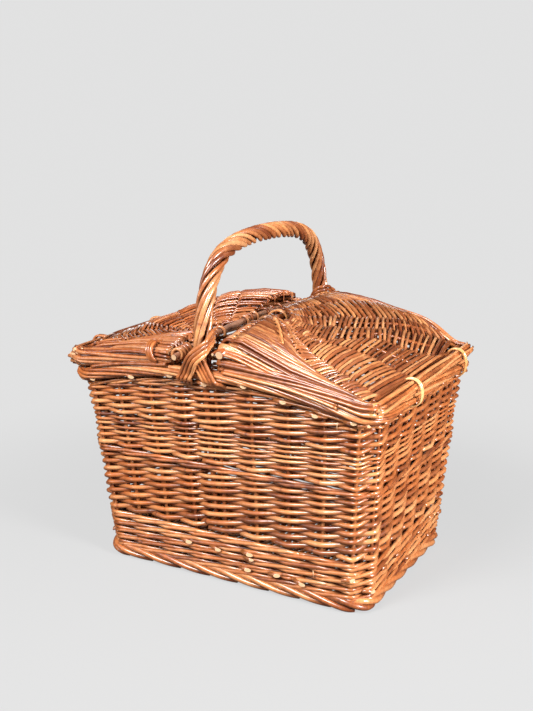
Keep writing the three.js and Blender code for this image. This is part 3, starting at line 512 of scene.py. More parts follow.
def sideAt(turn):
    # Where a rod that starts at stake 0 lies at this stake count: -1 inside, 1 outside
    whole = np.floor(turn / stakeCount) * stakeCount
    t = whole + np.interp(turn - whole, [0, *siding["legs"], stakeCount], [0, *siding["held"], stakeCount])
    even = 1 - 2 * np.abs((t + 2) % 2 - 1)
    return -even * siding["straight"] + np.cos(np.pi * t) * (1 - siding["straight"])


def sideShade(side):
    # Painted shade for a rod that is this far to the inside (-1) or the outside (1): darkest where it lies
    # deep in the wall
    shown, gain = siding["shown"]
    return siding["paintedShade"] * (1 - np.clip(shown + side * gain, 0, 1))


def sidingRods(gaps):
    gaps = np.array(gaps, float)
    centres, pitches = (gaps[1:] + gaps[:-1]) / 2, np.diff(gaps)
    levels = np.arange(len(centres))
    first, last = siding["run"][0], 2 * len(centres) - 1 + siding["run"][1]
    rods = []
    for k in range(stakeCount):
        j = np.linspace(first, last, int((last - first) * siding["steps"]))
        level = np.clip(j / 2, 0, None)
        z = np.interp(level, levels, centres) + np.maximum(level - levels[-1], 0) * pitches[-1]
        radius = siding["thickness"] * np.interp(level, levels, pitches) * jitter(siding["uneven"])
        side = sideAt(k + j) * (-1) ** k
        reach = (stakeLook["radius"] + radius) * siding["contact"]
        t = k + j
        z = z + wander(t, z, siding["phase"]) + siding["offLevel"] * chance.standard_normal()
        points = onWall(t, side * reach, z)
        fits = z + radius < rimOver(t) - basket["topWale"] + siding["underWale"]
        shade = chance.random()
        for run in runsOf(fits):
            if len(run) < siding["steps"]:
                continue
            thin = radius[run]
            if run[-1] < len(j) - 1:
                thin = thin * np.interp(np.arange(len(run))[::-1], *siding["tip"])
            rods.append(rod(points[run], thin, shade=shade, paintedShade=sideShade(side[run])))
    return rods


def runsOf(mask):
    spots = np.flatnonzero(mask)
    return [run for run in np.split(spots, np.flatnonzero(np.diff(spots) > 1) + 1) if len(run)]


rodPiece("lowerSiding", sidingRods(siding["lower"]), "basket", "willow", coats["willow"], ["lower_siding"])
upperRods = sidingRods(siding["upperFine"]) + sidingRods(siding["upper"])
rodPiece("upperSiding", upperRods, "basket", "pale_willow", coats["willow"], ["upper_siding"])


# Wales: three rods, each in front of two stakes and behind the third

wales = {
    "steps": 6,
    "thickness": 0.235,
    "uneven": 0.05,
    "sides": np.array([1, 1, -1, 1]),
    "swell": 1.06,  # between the two stakes in front of which a rod goes
    "rises": np.array([0.27, 0.73, 0.5, 0.27]),
    "wander": 0.5,
    "phase": 1.3,
    "joint": (20, 100),  # where a rod ends and the next one takes its place, in steps
    "rodSteps": 85,
    "upsett": [14.5, 25.5, 36, 47, 58.5, 70],
    "middle": [157.5, 168.5],
    "top": (9, 1),  # below the rim
}
waleTurn = np.linspace(0, stakeCount, stakeCount * wales["steps"] + 1)


def waleRods(low, high):
    # low and high bound one round
    t = waleTurn
    low, high = low + 0 * t, high + 0 * t
    rods = []
    for start in range(3):
        j = (t - start) % 3
        key = np.floor(j).astype(int)
        share = j - key
        eased = 0.5 - 0.5 * np.cos(np.pi * share)
        side = wales["sides"][key] * (1 - eased) + wales["sides"][key + 1] * eased
        side = np.where(key == 0, wales["swell"], side)
        rise = wales["rises"][key] * (1 - share) + wales["rises"][key + 1] * share
        radius = wales["thickness"] * (high - low)
        z = low + (high - low) * rise + wander(t, low, wales["phase"]) * wales["wander"]
        points = onWall(t, side * (stakeLook["radius"] + radius) * siding["contact"], z)
        joint = int(chance.integers(*wales["joint"]))
        cuts = [0, joint, joint + wales["rodSteps"], len(t) - 1]
        for a, b in zip(cuts, cuts[1:]):
            thick = radius[a : b + 1] * jitter(wales["uneven"])
            rods.append(rod(points[a : b + 1], thick, paintedShade=sideShade(side[a : b + 1])))
    return rods


def levelRounds(levels):
    return [item for low, high in zip(levels, levels[1:]) for item in waleRods(low, high)]


rodPiece("upsettWale", levelRounds(wales["upsett"]), "basket", "willow", coats["willow"], ["upsett_wale"])
middleRods = levelRounds(wales["middle"])
rodPiece("middleWale", middleRods, "basket", "dark_willow", coats["willow"], ["middle_wale"])
topRods = waleRods(*(rimOver(waleTurn) - drop for drop in wales["top"]))
rodPiece("topWale", topRods, "basket", "dark_willow", coats["paleWillow"], ["top_wale"])
print("side woven")


# Rolled borders of the rim and the foot: one rod rises at each stake, lies across the roll and ends under it

border = {
    "radius": 2.5,
    "taper": (1.1, 0.25),  # of the radius: share at the butt, and loss to the tip
    "span": 5.3,  # in stakes
    "angles": (150, -75),  # round the roll, 0 outside and 90 on top
    "uneven": 0.12,
    "steps": 26,
    "halfWidth": 9,
    "out": 5,
    # the other ends of the rods
    # the inner ends carry painted shade, as they run under the roll on its inner side
    "inner": {"start": 0.5, "span": 2.4, "angles": (150, 280), "share": 0.95, "paintedShade": 0.5},
    "core": (9, 4.5),  # the thick rod inside: below the top, radius
}
footRoll = {
    "radius": 4.3,
    "taper": (1.05, 0.2),
    "span": 2.3,
    "angles": (112, -92),
    "uneven": (0.06, 0.05),
    "steps": 20,
    "halfWidth": 9,
    "out": 1.5,
    "middle": 10.8,
    "halfHeight": 10.4,
    "overFloor": 0.3,
    "core": (3.0, 9, 5.0),  # the thick rod inside: inward, up, radius
}
# painted shade on the rolls' underside and inner side, faded out between these angles round the roll
rollLook = {"paintedShade": 0.8, "angles": [-70, -35, 100, 135]}
rollTurn = np.linspace(0, stakeCount, stakeCount * 4 + 1)


def onRoll(roll, t, angle, radius, middle, halfHeight, lowest=-np.inf):
    plan, away = onRim(t)
    spot = plan + away * (roll["out"] + np.cos(angle) * (roll["halfWidth"] - radius))[:, None]
    return leaned(spot[:, 0], spot[:, 1], np.maximum(middle + np.sin(angle) * (halfHeight - radius), lowest))


def borderPoint(t, angle, radius):
    plan, away = onRim(t)
    x, y = (plan + away * basket["stakeInset"]).T
    height = borderHeightAt(x, y)
    return onRoll(border, t, angle, radius, rimAt(x, y) + height / 2, height / 2)


def angleAt(look, u):
    start, stop = look["angles"]
    return np.radians(start + (stop - start) * u)


def rollShade(angle):
    return rollLook["paintedShade"] * np.interp(np.degrees(angle), rollLook["angles"], [1, 0, 0, 1])


def borderRods():
    rods = []
    inner = border["inner"]
    for k in range(stakeCount):
        u = np.linspace(0, 1, border["steps"])
        t = k + u * border["span"] + border["uneven"] * chance.standard_normal()
        angle = angleAt(border, u)
        radius = border["radius"] * (border["taper"][0] - border["taper"][1] * u)
        rods.append(rod(borderPoint(t, angle, radius), radius, paintedShade=rollShade(angle)))
        points = borderPoint(k + inner["start"] + u * inner["span"], angleAt(inner, u), radius)
        rods.append(rod(points, radius * inner["share"], paintedShade=inner["paintedShade"]))
    drop, radius = border["core"]
    upright = np.radians(90 + 0 * rollTurn)
    rods.append(rod(borderPoint(rollTurn, upright, drop + 0 * rollTurn), radius, shade=0.0))
    return rods


rodPiece("rimBorder", borderRods(), "basket", "pale_willow", coats["willow"], ["rim_border"])


def footRods():
    rods = []
    for k in range(stakeCount):
        u = np.linspace(0, 1, footRoll["steps"])
        t = k + u * footRoll["span"] + footRoll["uneven"][0] * chance.standard_normal()
        angle = angleAt(footRoll, u)
        widest, shrink = footRoll["taper"]
        radius = footRoll["radius"] * (widest - shrink * u) * jitter(footRoll["uneven"][1])
        lowest = radius + footRoll["overFloor"]
        points = onRoll(footRoll, t, angle, radius, footRoll["middle"], footRoll["halfHeight"], lowest)
        rods.append(rod(points, radius, paintedShade=rollShade(angle)))
    inward, up, radius = footRoll["core"]
    plan, away = onRim(rollTurn)
    spot = plan - away * inward
    rods.append(rod(leaned(spot[:, 0], spot[:, 1], 0 * rollTurn + up), radius, shade=0.0))
    return rods


rodPiece("footBorder", footRods(), "basket", "dark_willow", coats["willow"], ["foot_border"])
print("borders rolled")


# Cut ends: the border's rods end under it, and the butts of the upsett poke out of the wale

cutLook = {
    "radius": 2.3,
    "length": 20,
    "spare": 6,  # that stands out of the cut plane before the cut
    "segments": 12,
    # stake count along the front and height over the border's underside
    "front": [
        (0.3, 2.4), (1.62, 0.9), (2.83, 3.1), (3.82, -4.1), (4.94, 2.3), (6.0, -4.8), (6.84, -9.1),
        (7.85, -0.9),
    ],
    "borderOut": 12.3,
    # stake count, height and radius
    "butts": [
        (2.81, 49.5, 2.6), (3.8, 48.3, 2.4), (4.85, 51.9, 2.7), (4.9, 45, 1.9), (4.76, 28.6, 2.7),
        (5.71, 31, 2.6), (6.5, 27, 2.5),
    ],
    "buttOut": 10.5,
    # the sides that the photo doesn't show, from stake 8 on
    "hidden": {
        "from": 8,
        "border": ((0.1, 0.4), (-3, 2)),
        "butts": ((-0.1, 0.1), (-3, 3)),
        "out": 10.0,
        "radius": 2.5,
    },
    "buttHeights": [29.0, 49.0],
    "tilt": (-0.15, 0.2),
    "direction": (0.26, -0.15),  # outward and up, for 1 along the side
    "facing": (0.36, 0.93),  # along the side and outward
    "splinters": [(6.83, 43, 9), (7.4, 247, 10)],
    "splinter": {"along": 0.03, "out": (9, 3), "radius": (0.8, 0.5), "shade": 1.2},
}


def wallFrame(t, out, z):
    # A place on the wall with the direction of travel and the outward one
    spot = onWall(np.array([t, t + 0.02]), np.array([out, out]), np.array([z, z], float))
    travel = Vector(spot[1] - spot[0]).normalized()
    outward = travel.cross(Vector((0, 0, 1))).normalized()
    return Vector(spot[0]), travel, outward


def cutStub(whole, place, direction, facing, radius):
    part = bmesh.new()
    size = {"radius1": radius * mm, "radius2": radius * mm, "depth": cutLook["length"] * mm}
    bmesh.ops.create_cone(part, cap_ends=True, segments=cutLook["segments"], **size)
    for face in part.faces:
        face.smooth = len(face.verts) == 4
    middle = place + direction * (cutLook["spare"] - cutLook["length"] / 2)
    part.transform(Matrix.Translation(middle * mm) @ direction.to_track_quat("Z", "Y").to_matrix().to_4x4())
    everything = part.verts[:] + part.edges[:] + part.faces[:]
    plane = {"plane_co": place * mm, "plane_no": facing}
    cut = bmesh.ops.bisect_plane(part, geom=everything, clear_outer=True, **plane)
    edges = [item for item in cut["geom_cut"] if isinstance(item, bmesh.types.BMEdge)]
    for face in bmesh.ops.edgeloop_fill(part, edges=edges)["faces"]:
        face.material_index = 1
    carrier = bpy.data.meshes.new("carrier")
    part.to_mesh(carrier)
    whole.from_mesh(carrier)
    part.free()
    bpy.data.meshes.remove(carrier)


def underBorder(t, rise):
    return t, float(rimOver(np.array([t]))[0]) + rise, cutLook["borderOut"], cutLook["radius"]


def cutPiece():
    whole = bmesh.new()
    hidden = cutLook["hidden"]
    hiddenStakes = range(hidden["from"], stakeCount)
    spots = [underBorder(t, rise) for t, rise in cutLook["front"]]
    aside, rise = hidden["border"]
    spots += [underBorder(k + chance.uniform(*aside), chance.uniform(*rise)) for k in hiddenStakes]
    spots += [(t, z, cutLook["buttOut"], radius) for t, z, radius in cutLook["butts"]]
    aside, rise = hidden["butts"]
    for k in hiddenStakes:
        t = k + chance.uniform(*aside)
        z = chance.choice(cutLook["buttHeights"]) + chance.uniform(*rise)
        spots.append((t, z, hidden["out"], hidden["radius"]))
    for t, z, out, radius in spots:
        place, travel, outward = wallFrame(t, out, z)
        tilt = chance.uniform(*cutLook["tilt"])
        aside, up = cutLook["direction"]
        direction = (travel + outward * aside + Vector((0, 0, tilt + up))).normalized()
        facing = (travel * cutLook["facing"][0] + outward * cutLook["facing"][1]).normalized()
        cutStub(whole, place, direction, facing, radius)
    mesh = bpy.data.meshes.new("cutEnds")
    whole.to_mesh(mesh)
    whole.free()
    for material in coats["paleWillow"]:
        mesh.materials.append(material)
    piece = placed("cutEnds", mesh)
    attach(piece, "basket")
    print(f"cutEnds: {len(spots)} ends")


def splinterRods():
    look = cutLook["splinter"]
    rods = []
    for t, z, height in cutLook["splinters"]:
        shares = (0, 0.5, 1)
        outs = [look["out"][0] + look["out"][1] * share for share in shares]
        places = [wallFrame(t + look["along"] * s, out, z + height * s)[0] for s, out in zip(shares, outs)]
        rods.append(rod([tuple(place) for place in places], *look["radius"], shade=look["shade"]))
    return rods


cutPiece()
rodPiece("splinters", splinterRods(), "basket", "pale_willow", [pith, pith])


# Base: rods across five sticks

base = {
    "sticks": 5,
    "spacing": 48,
    "stickRadius": 3.3,
    "stickReach": 184,
    "middle": 15.5,
    "rodRadius": 2.3,
    "uneven": 0.06,
    "lift": 4.2,  # of a rod over or under a stick
    "halfLength": 183,
    "halfDepth": 124,
    "cornerCut": 12,
    "rows": 76,
}


def baseRods():
    rods = []
    length, depth = base["halfLength"], base["halfDepth"]
    edges = [-depth, *evenSpots(base["sticks"], base["spacing"]), depth]
    for n in range(base["rows"]):
        x = -length + (n + 0.5) * 2 * length / base["rows"]
        end = min(depth, depth + length - abs(x) - base["cornerCut"])
        keys = []
        for i, y in enumerate(edges):
            way = 0 if i in (0, len(edges) - 1) else (-1) ** (n + i)
            keys.append((x, min(max(y, -end), end), base["middle"] + base["lift"] * way))
        rods.append(rod(smoothLine(keys, 5), base["rodRadius"] * jitter(base["uneven"])))
    return rods


def baseSticks():
    xs = (-base["stickReach"], 0, base["stickReach"])
    ys = evenSpots(base["sticks"], base["spacing"])
    return [rod([(x, y, base["middle"]) for x in xs], base["stickRadius"]) for y in ys]


rodPiece("baseWeave", baseRods(), "basket", "willow", coats["willow"], ["base_weave"])
stickNodes = [f"base_stick_{i + 1}" for i in range(base["sticks"])]
rodPiece("baseSticks", baseSticks(), "basket", "willow", coats["willow"], stickNodes)


# Handle: a bow roped with twisted rods, and its ties

handle = {
    "x": -15,
    "legInset": 6.5,
    "legInward": 3,  # the legs run a little inside the stakes
    "legBottom": 83,
    "legTops": (286, 294),  # front and back
    "legPoints": 8,
    "legTip": 3.4,
    "fullFrom": 280,  # the height from which the bow is at its full radius
    "bowRadius": 4.5,
    "bowPoints": 60,
    "top": 451,
    "neckInward": 1,
    "clear": 0.3,
    "shape": [(0, 123), (2, 103), (6.5, 80), (13.5, 59), (25.5, 38), (45.5, 19), (78.5, 7), (120.5, 1.5)],
    "ropeRadius": 11.5,
    "ropeRods": 7,
    "ropePoints": 180,
    "rodRadius": 3.3,
    "uneven": 0.07,
    "sway": (0.14, 40, 2),
    "swell": (0.1, 90, 1.9),
    # painted shade in the creases of the rope: its rods darken between these distances from the middle, by up
    # to the next value
    "crease": (7.2, 10.2),  # distances from the middle between which the rope's rods darken
    "paintedShade": 0.9,
    # place along the bow and length of a turn there
    "lays": [(0, 420), (45, 260), (110, 120), (260, 92), (420, 100), (480, 150), (560, 260)],
}


def legPoint(side, z):
    return leaned(handle["x"], side * (basket["rimHalf"][1] - handle["legInset"]), z)


def legRod(side, top):
    z = np.linspace(handle["legBottom"], top, handle["legPoints"])
    return [legPoint(side, height) - [0, side * handle["legInward"], 0] for height in z]


def borderTop(side):
    y = side * basket["rimHalf"][1]
    return rimAt(0, y) + borderHeightAt(0, y)


def bowLine(count):
    # The bow over the border, and the way along it
    neckX = legPoint(-1, borderTop(-1))[0]
    neckY = basket["rimHalf"][1] - handle["neckInward"]
    ends = [legPoint(side, borderTop(side) + handle["clear"]) for side in (-1, 1)]
    front = [(neckX, -(neckY - inward), handle["top"] - down) for inward, down in handle["shape"]]
    back = [(x, -y, z) for x, y, z in reversed(front)]
    line = smoothLine([ends[0], *front, (neckX, 0, handle["top"]), *back, ends[1]], 12)
    reach = reachAlong(line)
    spots = np.linspace(0, reach[-1], count)
    return np.stack([np.interp(spots, reach, line[:, i]) for i in range(3)], -1), spots


def ropeRods():
    line, reach = bowLine(handle["ropePoints"])
    sideways = np.tile([1.0, 0, 0], (len(line), 1))
    outward = np.cross(unit(np.gradient(line, axis=0)), sideways)
    turned = np.cumsum(np.diff(reach, prepend=0) / np.interp(reach, *np.array(handle["lays"]).T))
    rods = []
    for k in range(handle["ropeRods"]):
        angle = 2 * np.pi * (turned + k / handle["ropeRods"]) + wave(handle["sway"], reach, k)
        thickness = 1 + wave(handle["swell"], reach, k) + handle["uneven"] * chance.standard_normal()
        radius = handle["rodRadius"] * thickness
        away = (handle["ropeRadius"] - radius)[:, None]
        points = line + away * (np.cos(angle)[:, None] * sideways + np.sin(angle)[:, None] * outward)
        rods.append(rod(points, radius))
    return rods


def bowRod():
    line, _ = bowLine(handle["bowPoints"])
    front, back = (legRod(side, top) for side, top in zip((-1, 1), handle["legTops"]))
    points = np.concatenate([front, line, back[::-1]])
    heights = [handle["legBottom"], handle["fullFrom"]]
    return [rod(points, np.interp(points[:, 2], heights, [handle["legTip"], handle["bowRadius"]]), shade=0.2)]


# Painted shade in the creases between the rope's rods
def ropeShade(places):
    line, _ = bowLine(handle["ropePoints"])
    away = np.min([np.linalg.norm(places - spot, axis=1) for spot in line], axis=0)
    return handle["paintedShade"] * np.interp(away, handle["crease"], (1, 0))


rope = {"rounding": 4, "shadeOf": ropeShade}
rodPiece("handleRope", ropeRods(), "basket", "willow", coats["shadedWillow"], ["handle_rope"], **rope)
rodPiece("handleBow", bowRod(), "basket", "dark_willow", coats["darkWillow"], ["handle_bow"], rounding=4)

ties = {
    "count": 4,
    "radius": 2.3,
    "uneven": 0.06,
    "gap": 0.05,
    "seat": 1.1,
    "crossGap": 3.6,
    "crossHeight": 13,
    "climb": 20,
    "lean": 14,  # the loop round the neck is this much higher on its right side
    "spread": 21,
    "turn": [(0.25, 0), (0.5, 0), (0.62, 0.12), (0.78, 1)],
    "levels": {"border": 0.35, "curve": 0.08},
    "neckUp": 9,
    "borderY": 172,
    "wallY": 167,
    "curveIn": 1,
    "ends": [(2, 4), (8, 11)],  # below the rim, and inward from the wall
}


def tieRods(side):
    line, _ = bowLine(400)
    leg = line[:200] if side < 0 else line[::-1][:200]
    neckX = leg[0][0]

    def neck(z):
        return np.array([np.interp(z, leg[:, 2], leg[:, 0]), np.interp(z, leg[:, 2], leg[:, 1]), z])

    rim = float(rimAt(handle["x"], side * basket["rimHalf"][1]))
    overBorder = rim + basket["borderHeight"]
    cross = overBorder + ties["crossHeight"]
    slope = math.atan2(ties["climb"], math.pi * handle["ropeRadius"])
    down = math.atan2(cross - rim, ties["spread"])
    seat = ties["radius"] + ties["seat"]
    under = handle["ropeRadius"] + seat
    over = under + 2 * ties["radius"] + ties["crossGap"]

    def outAt(drawn, z):
        return side * leaned(0, side * drawn, z)[1] + seat

    neckOut = side * legPoint(side, overBorder + ties["neckUp"])[1] + under
    borderOut = outAt(ties["borderY"], overBorder)
    wallOut = outAt(ties["wallY"], rim)

    def onNeck(hand, share, rise, radius):
        angle = math.pi * share
        z = cross + ties["climb"] * (1 - share) + ties["lean"] * hand * math.sin(angle)
        z += rise / math.cos(slope)
        return neck(z) + radius * np.array([hand * math.sin(angle), -side * math.cos(angle), 0])

    def below(hand, z, rise, out):
        aside = (cross - z) / math.tan(down) + rise / math.sin(down)
        return np.array([neckX - hand * aside, side * out, z])

    def half(hand, layer, rise):
        shift = rise * math.sqrt(0.5)
        fromAxis = side * neck(cross)[1] + math.sqrt(layer**2 - shift**2)
        levels = {key: rim + (cross - rim) * share for key, share in ties["levels"].items()}
        keys = [onNeck(hand, share, rise, under + (layer - under) * moved) for share, moved in ties["turn"]]
        keys.append(np.array([neckX - hand * shift, side * fromAxis, cross + shift]))
        keys.append(below(hand, levels["border"], rise, max(borderOut, neckOut)))
        keys.append(below(hand, levels["curve"], rise, borderOut - ties["curveIn"]))
        return keys + [below(hand, rim - drop, rise, wallOut - inward) for drop, inward in ties["ends"]]

    rods = []
    for k in range(ties["count"]):
        rise = (k - (ties["count"] - 1) / 2) * (2 * ties["radius"] + ties["gap"])
        keys = half(1, over, rise)[::-1] + [onNeck(1, 0, rise, under)] + half(-1, under, rise)
        rods.append(rod(smoothLine(keys, 7), ties["radius"] * jitter(ties["uneven"])))
    return rods


for side, word in ((-1, "front"), (1, "back")):
    names = [f"{word}_handle_tie_rod_{i + 1}" for i in range(ties["count"])]
    rodPiece(word + "HandleTies", tieRods(side), "basket", "pale_willow", coats["willow"], names, rounding=3)
print("handle roped")


# Lids

lidShape = {
    "overEnds": 8,
    "overSides": 10,
    "corner": 12,
    "cornerShare": 0.3,  # of the end's radius, off the corner
    "cornerIn": 5,
    "seat": 0.5,
    "stickRadius": 6.25,
    "stickGap": 0.3,
    "seamGap": 0.6,
    "endGap": 3,
    "backTaper": (0, 0.4),
    "taper": (0.6, 0.85),
    "crownDepth": 0.9,
    "swell": {"share": 0.75, "seam": (10, 60), "corner": (160, 205), "y": (-150, -40)},
}
lidShape["halfLength"] = basket["rimHalf"][0] + lidShape["overEnds"]
lidShape["halfDepth"] = basket["rimHalf"][1] + lidShape["overSides"]

# The rows of a lid fold half way between two ribs. Each of its fold lines is (distance from the stick, y),
# from the innermost row to the outermost one, and the first and last lines lie on the stick. Strays are rods
# that lie loosely over the others.
leftLid = {
    "name": "left",
    "side": -1,
    "stickX": -50,
    "stickOnRoll": False,
    "radii": {"front": 12, "end": 13, "back": 14, "seam": 11},
    "crown": 9,
    "puff": 7,  # how far the weave and the back edge swell up
    "stickCrown": 9,
    "stickTaper": (3.9, 5.6),
    "lanes": [(1, 12), (0.5, 6)],  # of the edge's rods: share of its radius, number of rods
    "endLanes": [(1, 14), (0.55, 7)],
    "edgeRod": 2.55,
    "stops": {"front": (0, 9), "back": (0, 9), "end": (3, 10)},  # how far before the edge's end the rods end
    "hinges": (-108, 25),
    "ringHalfWidth": 15.4,
    "ringSquare": 0.66,
    "ringPitch": 4.2,
    "ringRod": 1.7,
    "loop": (-85, -1),
    "loopLean": 0.45,
    "loopCoils": (3, 5.6, 1.6),  # turns, pitch and spare radius
    "rows": 48,
    "rowRadius": 1.8,
    "lift": 3.0,  # of a rod over or under a rib
    "flush": 0.95,
    "flushFrom": (0.15, 0.6),
    "stray": 1.5,  # how unevenly the rods' ends lie along the front of the stick
    "wraps": (0.6, 0.6),  # share of the inner and outer rows' ends that go over the stick
    "folds": [
        [(3, -10), (3, 15), (3, 60), (3, 110), (3, 145), (3, 160)],
        [(10, -18), (22, -2), (42, 50), (66, 100), (95, 140), (120, 159)],
        [(18, -30), (38, -18), (64, 22), (90, 75), (118, 125), (150, 159)],
        [(24, -42), (50, -38), (80, 0), (106, 45), (132, 90), (161, 150)],
        [(26, -52), (54, -58), (86, -30), (112, 0), (138, 30), (164, 70)],
        [(26, -62), (56, -74), (86, -82), (112, -85), (138, -86), (164, -92)],
        [(20, -66), (44, -88), (70, -108), (94, -122), (120, -129), (155, -136)],
        [(12, -66), (28, -100), (46, -128), (66, -146), (98, -153), (144, -161)],
        [(3, -56), (3, -84), (3, -116), (3, -138), (3, -151), (3, -162)],
    ],
    "strays": [[(8, -95), (50, -132), (110, -152), (150, -158)], [(60, -120), (100, -140), (150, -150)]],
    "coats": {"edge": "darkWillow", "weave": "darkWillow", "stick": "barkWillow", "rings": "paleWillow"},
}
rightLid = {
    "name": "right",
    "side": 1,
    "stickX": 16,
    "stickOnRoll": True,
    "radii": {"front": 8, "end": 9, "back": 12, "seam": 8},
    "crown": 25,
    "puff": 9,
    "stickCrown": 13,
    "stickTaper": (5.3, 6.0),
    "lanes": [(1, 9), (0.4, 4)],
    "endLanes": [(1, 9), (0.4, 4)],
    "edgeRod": 2.25,
    "stops": {"front": (0, 9), "back": (7, 18), "end": (7, 16)},
    "hinges": (-58, 110),
    "ringHalfWidth": 14.5,
    "ringSquare": 0.9,
    "ringPitch": 4.0,
    "ringRod": 1.35,
    "loop": (74, 1),
    "loopLean": 0.0,
    "loopCoils": (2, 4.9, 0.3),
    "rows": 66,
    "rowRadius": 2.0,
    "lift": 2.5,
    "flush": 0.85,
    "flushFrom": (0.45, 1.0),
    "stray": 4.5,
    "wraps": (0.35, 1.0),
    "folds": [
        [(3, -15), (3, 12), (3, 62), (3, 118), (3, 150), (3, 159)],
        [(12, -22), (22, -5), (34, 42), (60, 103), (96, 142), (144, 158)],
        [(22, -32), (40, -28), (71, 12), (103, 55), (132, 101), (164, 158)],
        [(30, -45), (56, -48), (83, -22), (115, 18), (149, 72), (182, 154)],
        [(32, -55), (60, -66), (95, -72), (127, -13), (163, 22), (197, 66)],
        [(32, -62), (60, -82), (93, -83), (130, -70), (164, -54), (197, -48)],
        [(30, -68), (58, -91), (90, -111), (122, -122), (156, -130), (192, -140)],
        [(22, -68), (49, -95), (75, -121), (108, -139), (145, -151), (184, -162)],
        [(3, -52), (3, -64), (3, -92), (3, -118), (3, -141), (3, -162)],
    ],
    "strays": [
        [(0, -84), (30, -100), (74, -131), (128, -150), (170, -158)],
        [(0, -58), (34, -74), (60, -100), (92, -128)],
        [(0, -128), (60, -140), (120, -154), (176, -160)],
        [(20, -112), (70, -140), (110, -152), (150, -160)],
        [(0, -100), (52, -118), (98, -138)],
    ],
    "coats": {"edge": "willow", "weave": "shadedWillow", "stick": "darkWillow", "rings": "splitCane"},
}


def ease(value, low, high):
    share = np.clip((value - low) / (high - low), 0, 1)
    return share * share * (3 - 2 * share)


def lidSeat(x, y):
    return seatAt(x, y) + lidShape["seat"]


def rollRadiusAt(lid, x, y):
    radii = lid["radii"]
    fromSeam = np.abs(x - lid["stickX"]) / (lidShape["halfLength"] - abs(lid["stickX"]))
    toEnd = ease(fromSeam, *lidShape["taper"])
    back = radii["seam"] + (radii["back"] - radii["seam"]) * ease(fromSeam, *lidShape["backTaper"])
    side = np.where(np.asarray(y) < 0, radii["front"], back)
    return side + (radii["end"] - side) * toEnd


def swellAt(lid, x, y):
    # The back edge swells up away from the seam and the corner
    swell = lidShape["swell"]
    fromSeam = ease(np.abs(x - lid["stickX"]), *swell["seam"])
    corner = 1 - ease(np.abs(x), *swell["corner"])
    return swell["share"] * lid["puff"] * ease(y, *swell["y"]) * fromSeam * corner


def lidMiddleZ(lid, x, y):
    yShare = np.clip(np.abs(y) / (lidShape["crownDepth"] * lidShape["halfDepth"]), 0, 1)
    endX = lid["side"] * (lidShape["halfLength"] - lid["radii"]["end"])
    fromEnd = np.clip((endX - x) / (endX - lid["stickX"]), 0, 1)
    front, back = rollRadiusAt(lid, x, -1), rollRadiusAt(lid, x, 1)
    radius = front + (back - front) * np.clip(0.5 + y / (2 * lidShape["halfDepth"]), 0, 1)
    crown = lid["crown"] * (1 - (1 - fromEnd) ** 2) * (1 - yShare**4)
    return lidSeat(x, y) + radius + crown


def stickZ(lid, y):
    ends = []
    for side in (-1, 1):
        radius = float(rollRadiusAt(lid, lid["stickX"], side))
        seat = float(lidSeat(lid["stickX"], side * (lidShape["halfDepth"] - radius))) + radius
        overRoll = seat + radius + lidShape["stickGap"] + lidShape["stickRadius"]
        ends.append(overRoll if lid["stickOnRoll"] else seat)
    share = np.asarray(y) / lidShape["halfDepth"]
    return ends[0] + (ends[1] - ends[0]) * (0.5 + share / 2) + lid["stickCrown"] * (1 - share * share)


def edgeLines(lid):
    # Middle lines of the three edge bundles: along the front, along the back and across the end
    a, b, side = lidShape["halfLength"], lidShape["halfDepth"], lid["side"]
    radii, gap, cornerIn = lid["radii"], lidShape["endGap"], lidShape["cornerIn"]
    stick = lidShape["stickRadius"]
    seam = lid["stickX"] + side * (-stick if lid["stickOnRoll"] else stick + lidShape["seamGap"])
    corner = lidShape["corner"] - radii["end"] * lidShape["cornerShare"]
    lines = []
    for ySide in (-1, 1):
        x = np.linspace(seam, side * (a - gap), 50)
        radius = rollRadiusAt(lid, x, ySide)
        y = ySide * (b - radius)
        bend = np.clip((side * x - (a - radii["end"] - corner)) / corner, 0, 1)
        y = y - ySide * cornerIn * bend**2
        lines.append((x, y, radius, np.array([0.0, ySide])))
    y = np.linspace(-(b - gap), b - gap, 70)
    radius = np.full(len(y), float(radii["end"]))
    bend = np.clip((np.abs(y) - (b - radii["front"] - corner)) / corner, 0, 1)
    x = side * (a - radius - cornerIn * bend**2)
    lines.append((x, y, radius, np.array([float(side), 0.0])))
    return lines


edgeLook = {
    "step": 8,  # along a rod, and the fewest points of one
    "starts": {"side": (0, 3), "end": (3, 10)},
    "drifts": {"side": 1.3, "end": 0.7},  # how far a rod drifts round the bundle, in radians
    "driftUneven": 0.9,
    "taper": (1.15, 0.35),
    "uneven": 0.08,
    "aside": 0.3,  # of the space between two rods of a lane
    "sway": (0.14, 24, 6.28),
    "loose": (0.7, -1, 0.6),  # how far a rod leaves its lane, inward and outward
    "backMore": 3,  # more rods in each lane of the back
    "core": 0.5,  # radius of the rod inside, as a share of the bundle's
    # rods that close the crease over the border: outward and up
    "creases": ((6.2, 2.6), (9.2, 0.6)),
    "creaseRun": (2, -12),  # first and last point of the edge line
    "creaseSway": (0.5, 5, 1),
    "creaseFit": (12, 0.5),  # share by which they follow an edge thinner than this
    "creaseTip": 0.8,
    # rods between the end's edge and the weave: inward and up, in radii
    "closing": ((1.08, 0.5), (1.35, 0.25), (1.3, 0.7), (1.62, 0.4)),
    "closingSway": (0.8, 29, 5),
    "closingRod": (2.0, 1.6),
    # painted shade on the rods between the end's edge and the weave
    "closingShade": 0.25,
}
seamLook = {
    "rods": 8,
    "stop": (0.3, 0.75),  # share of the edge that a rod runs along
    "fall": (4, (55, 95)),  # distances from the stick between which it comes down
    "high": (1.7, 2),  # spread over the stick's height, and up
    "low": (1.85, 0.5),  # height on the edge in radii, and spread
    "aside": (0.55, 1.3),  # outward from the edge's middle in radii, and spread
    "sway": (0.1, 6, 1),
    "tip": 0.8,
}


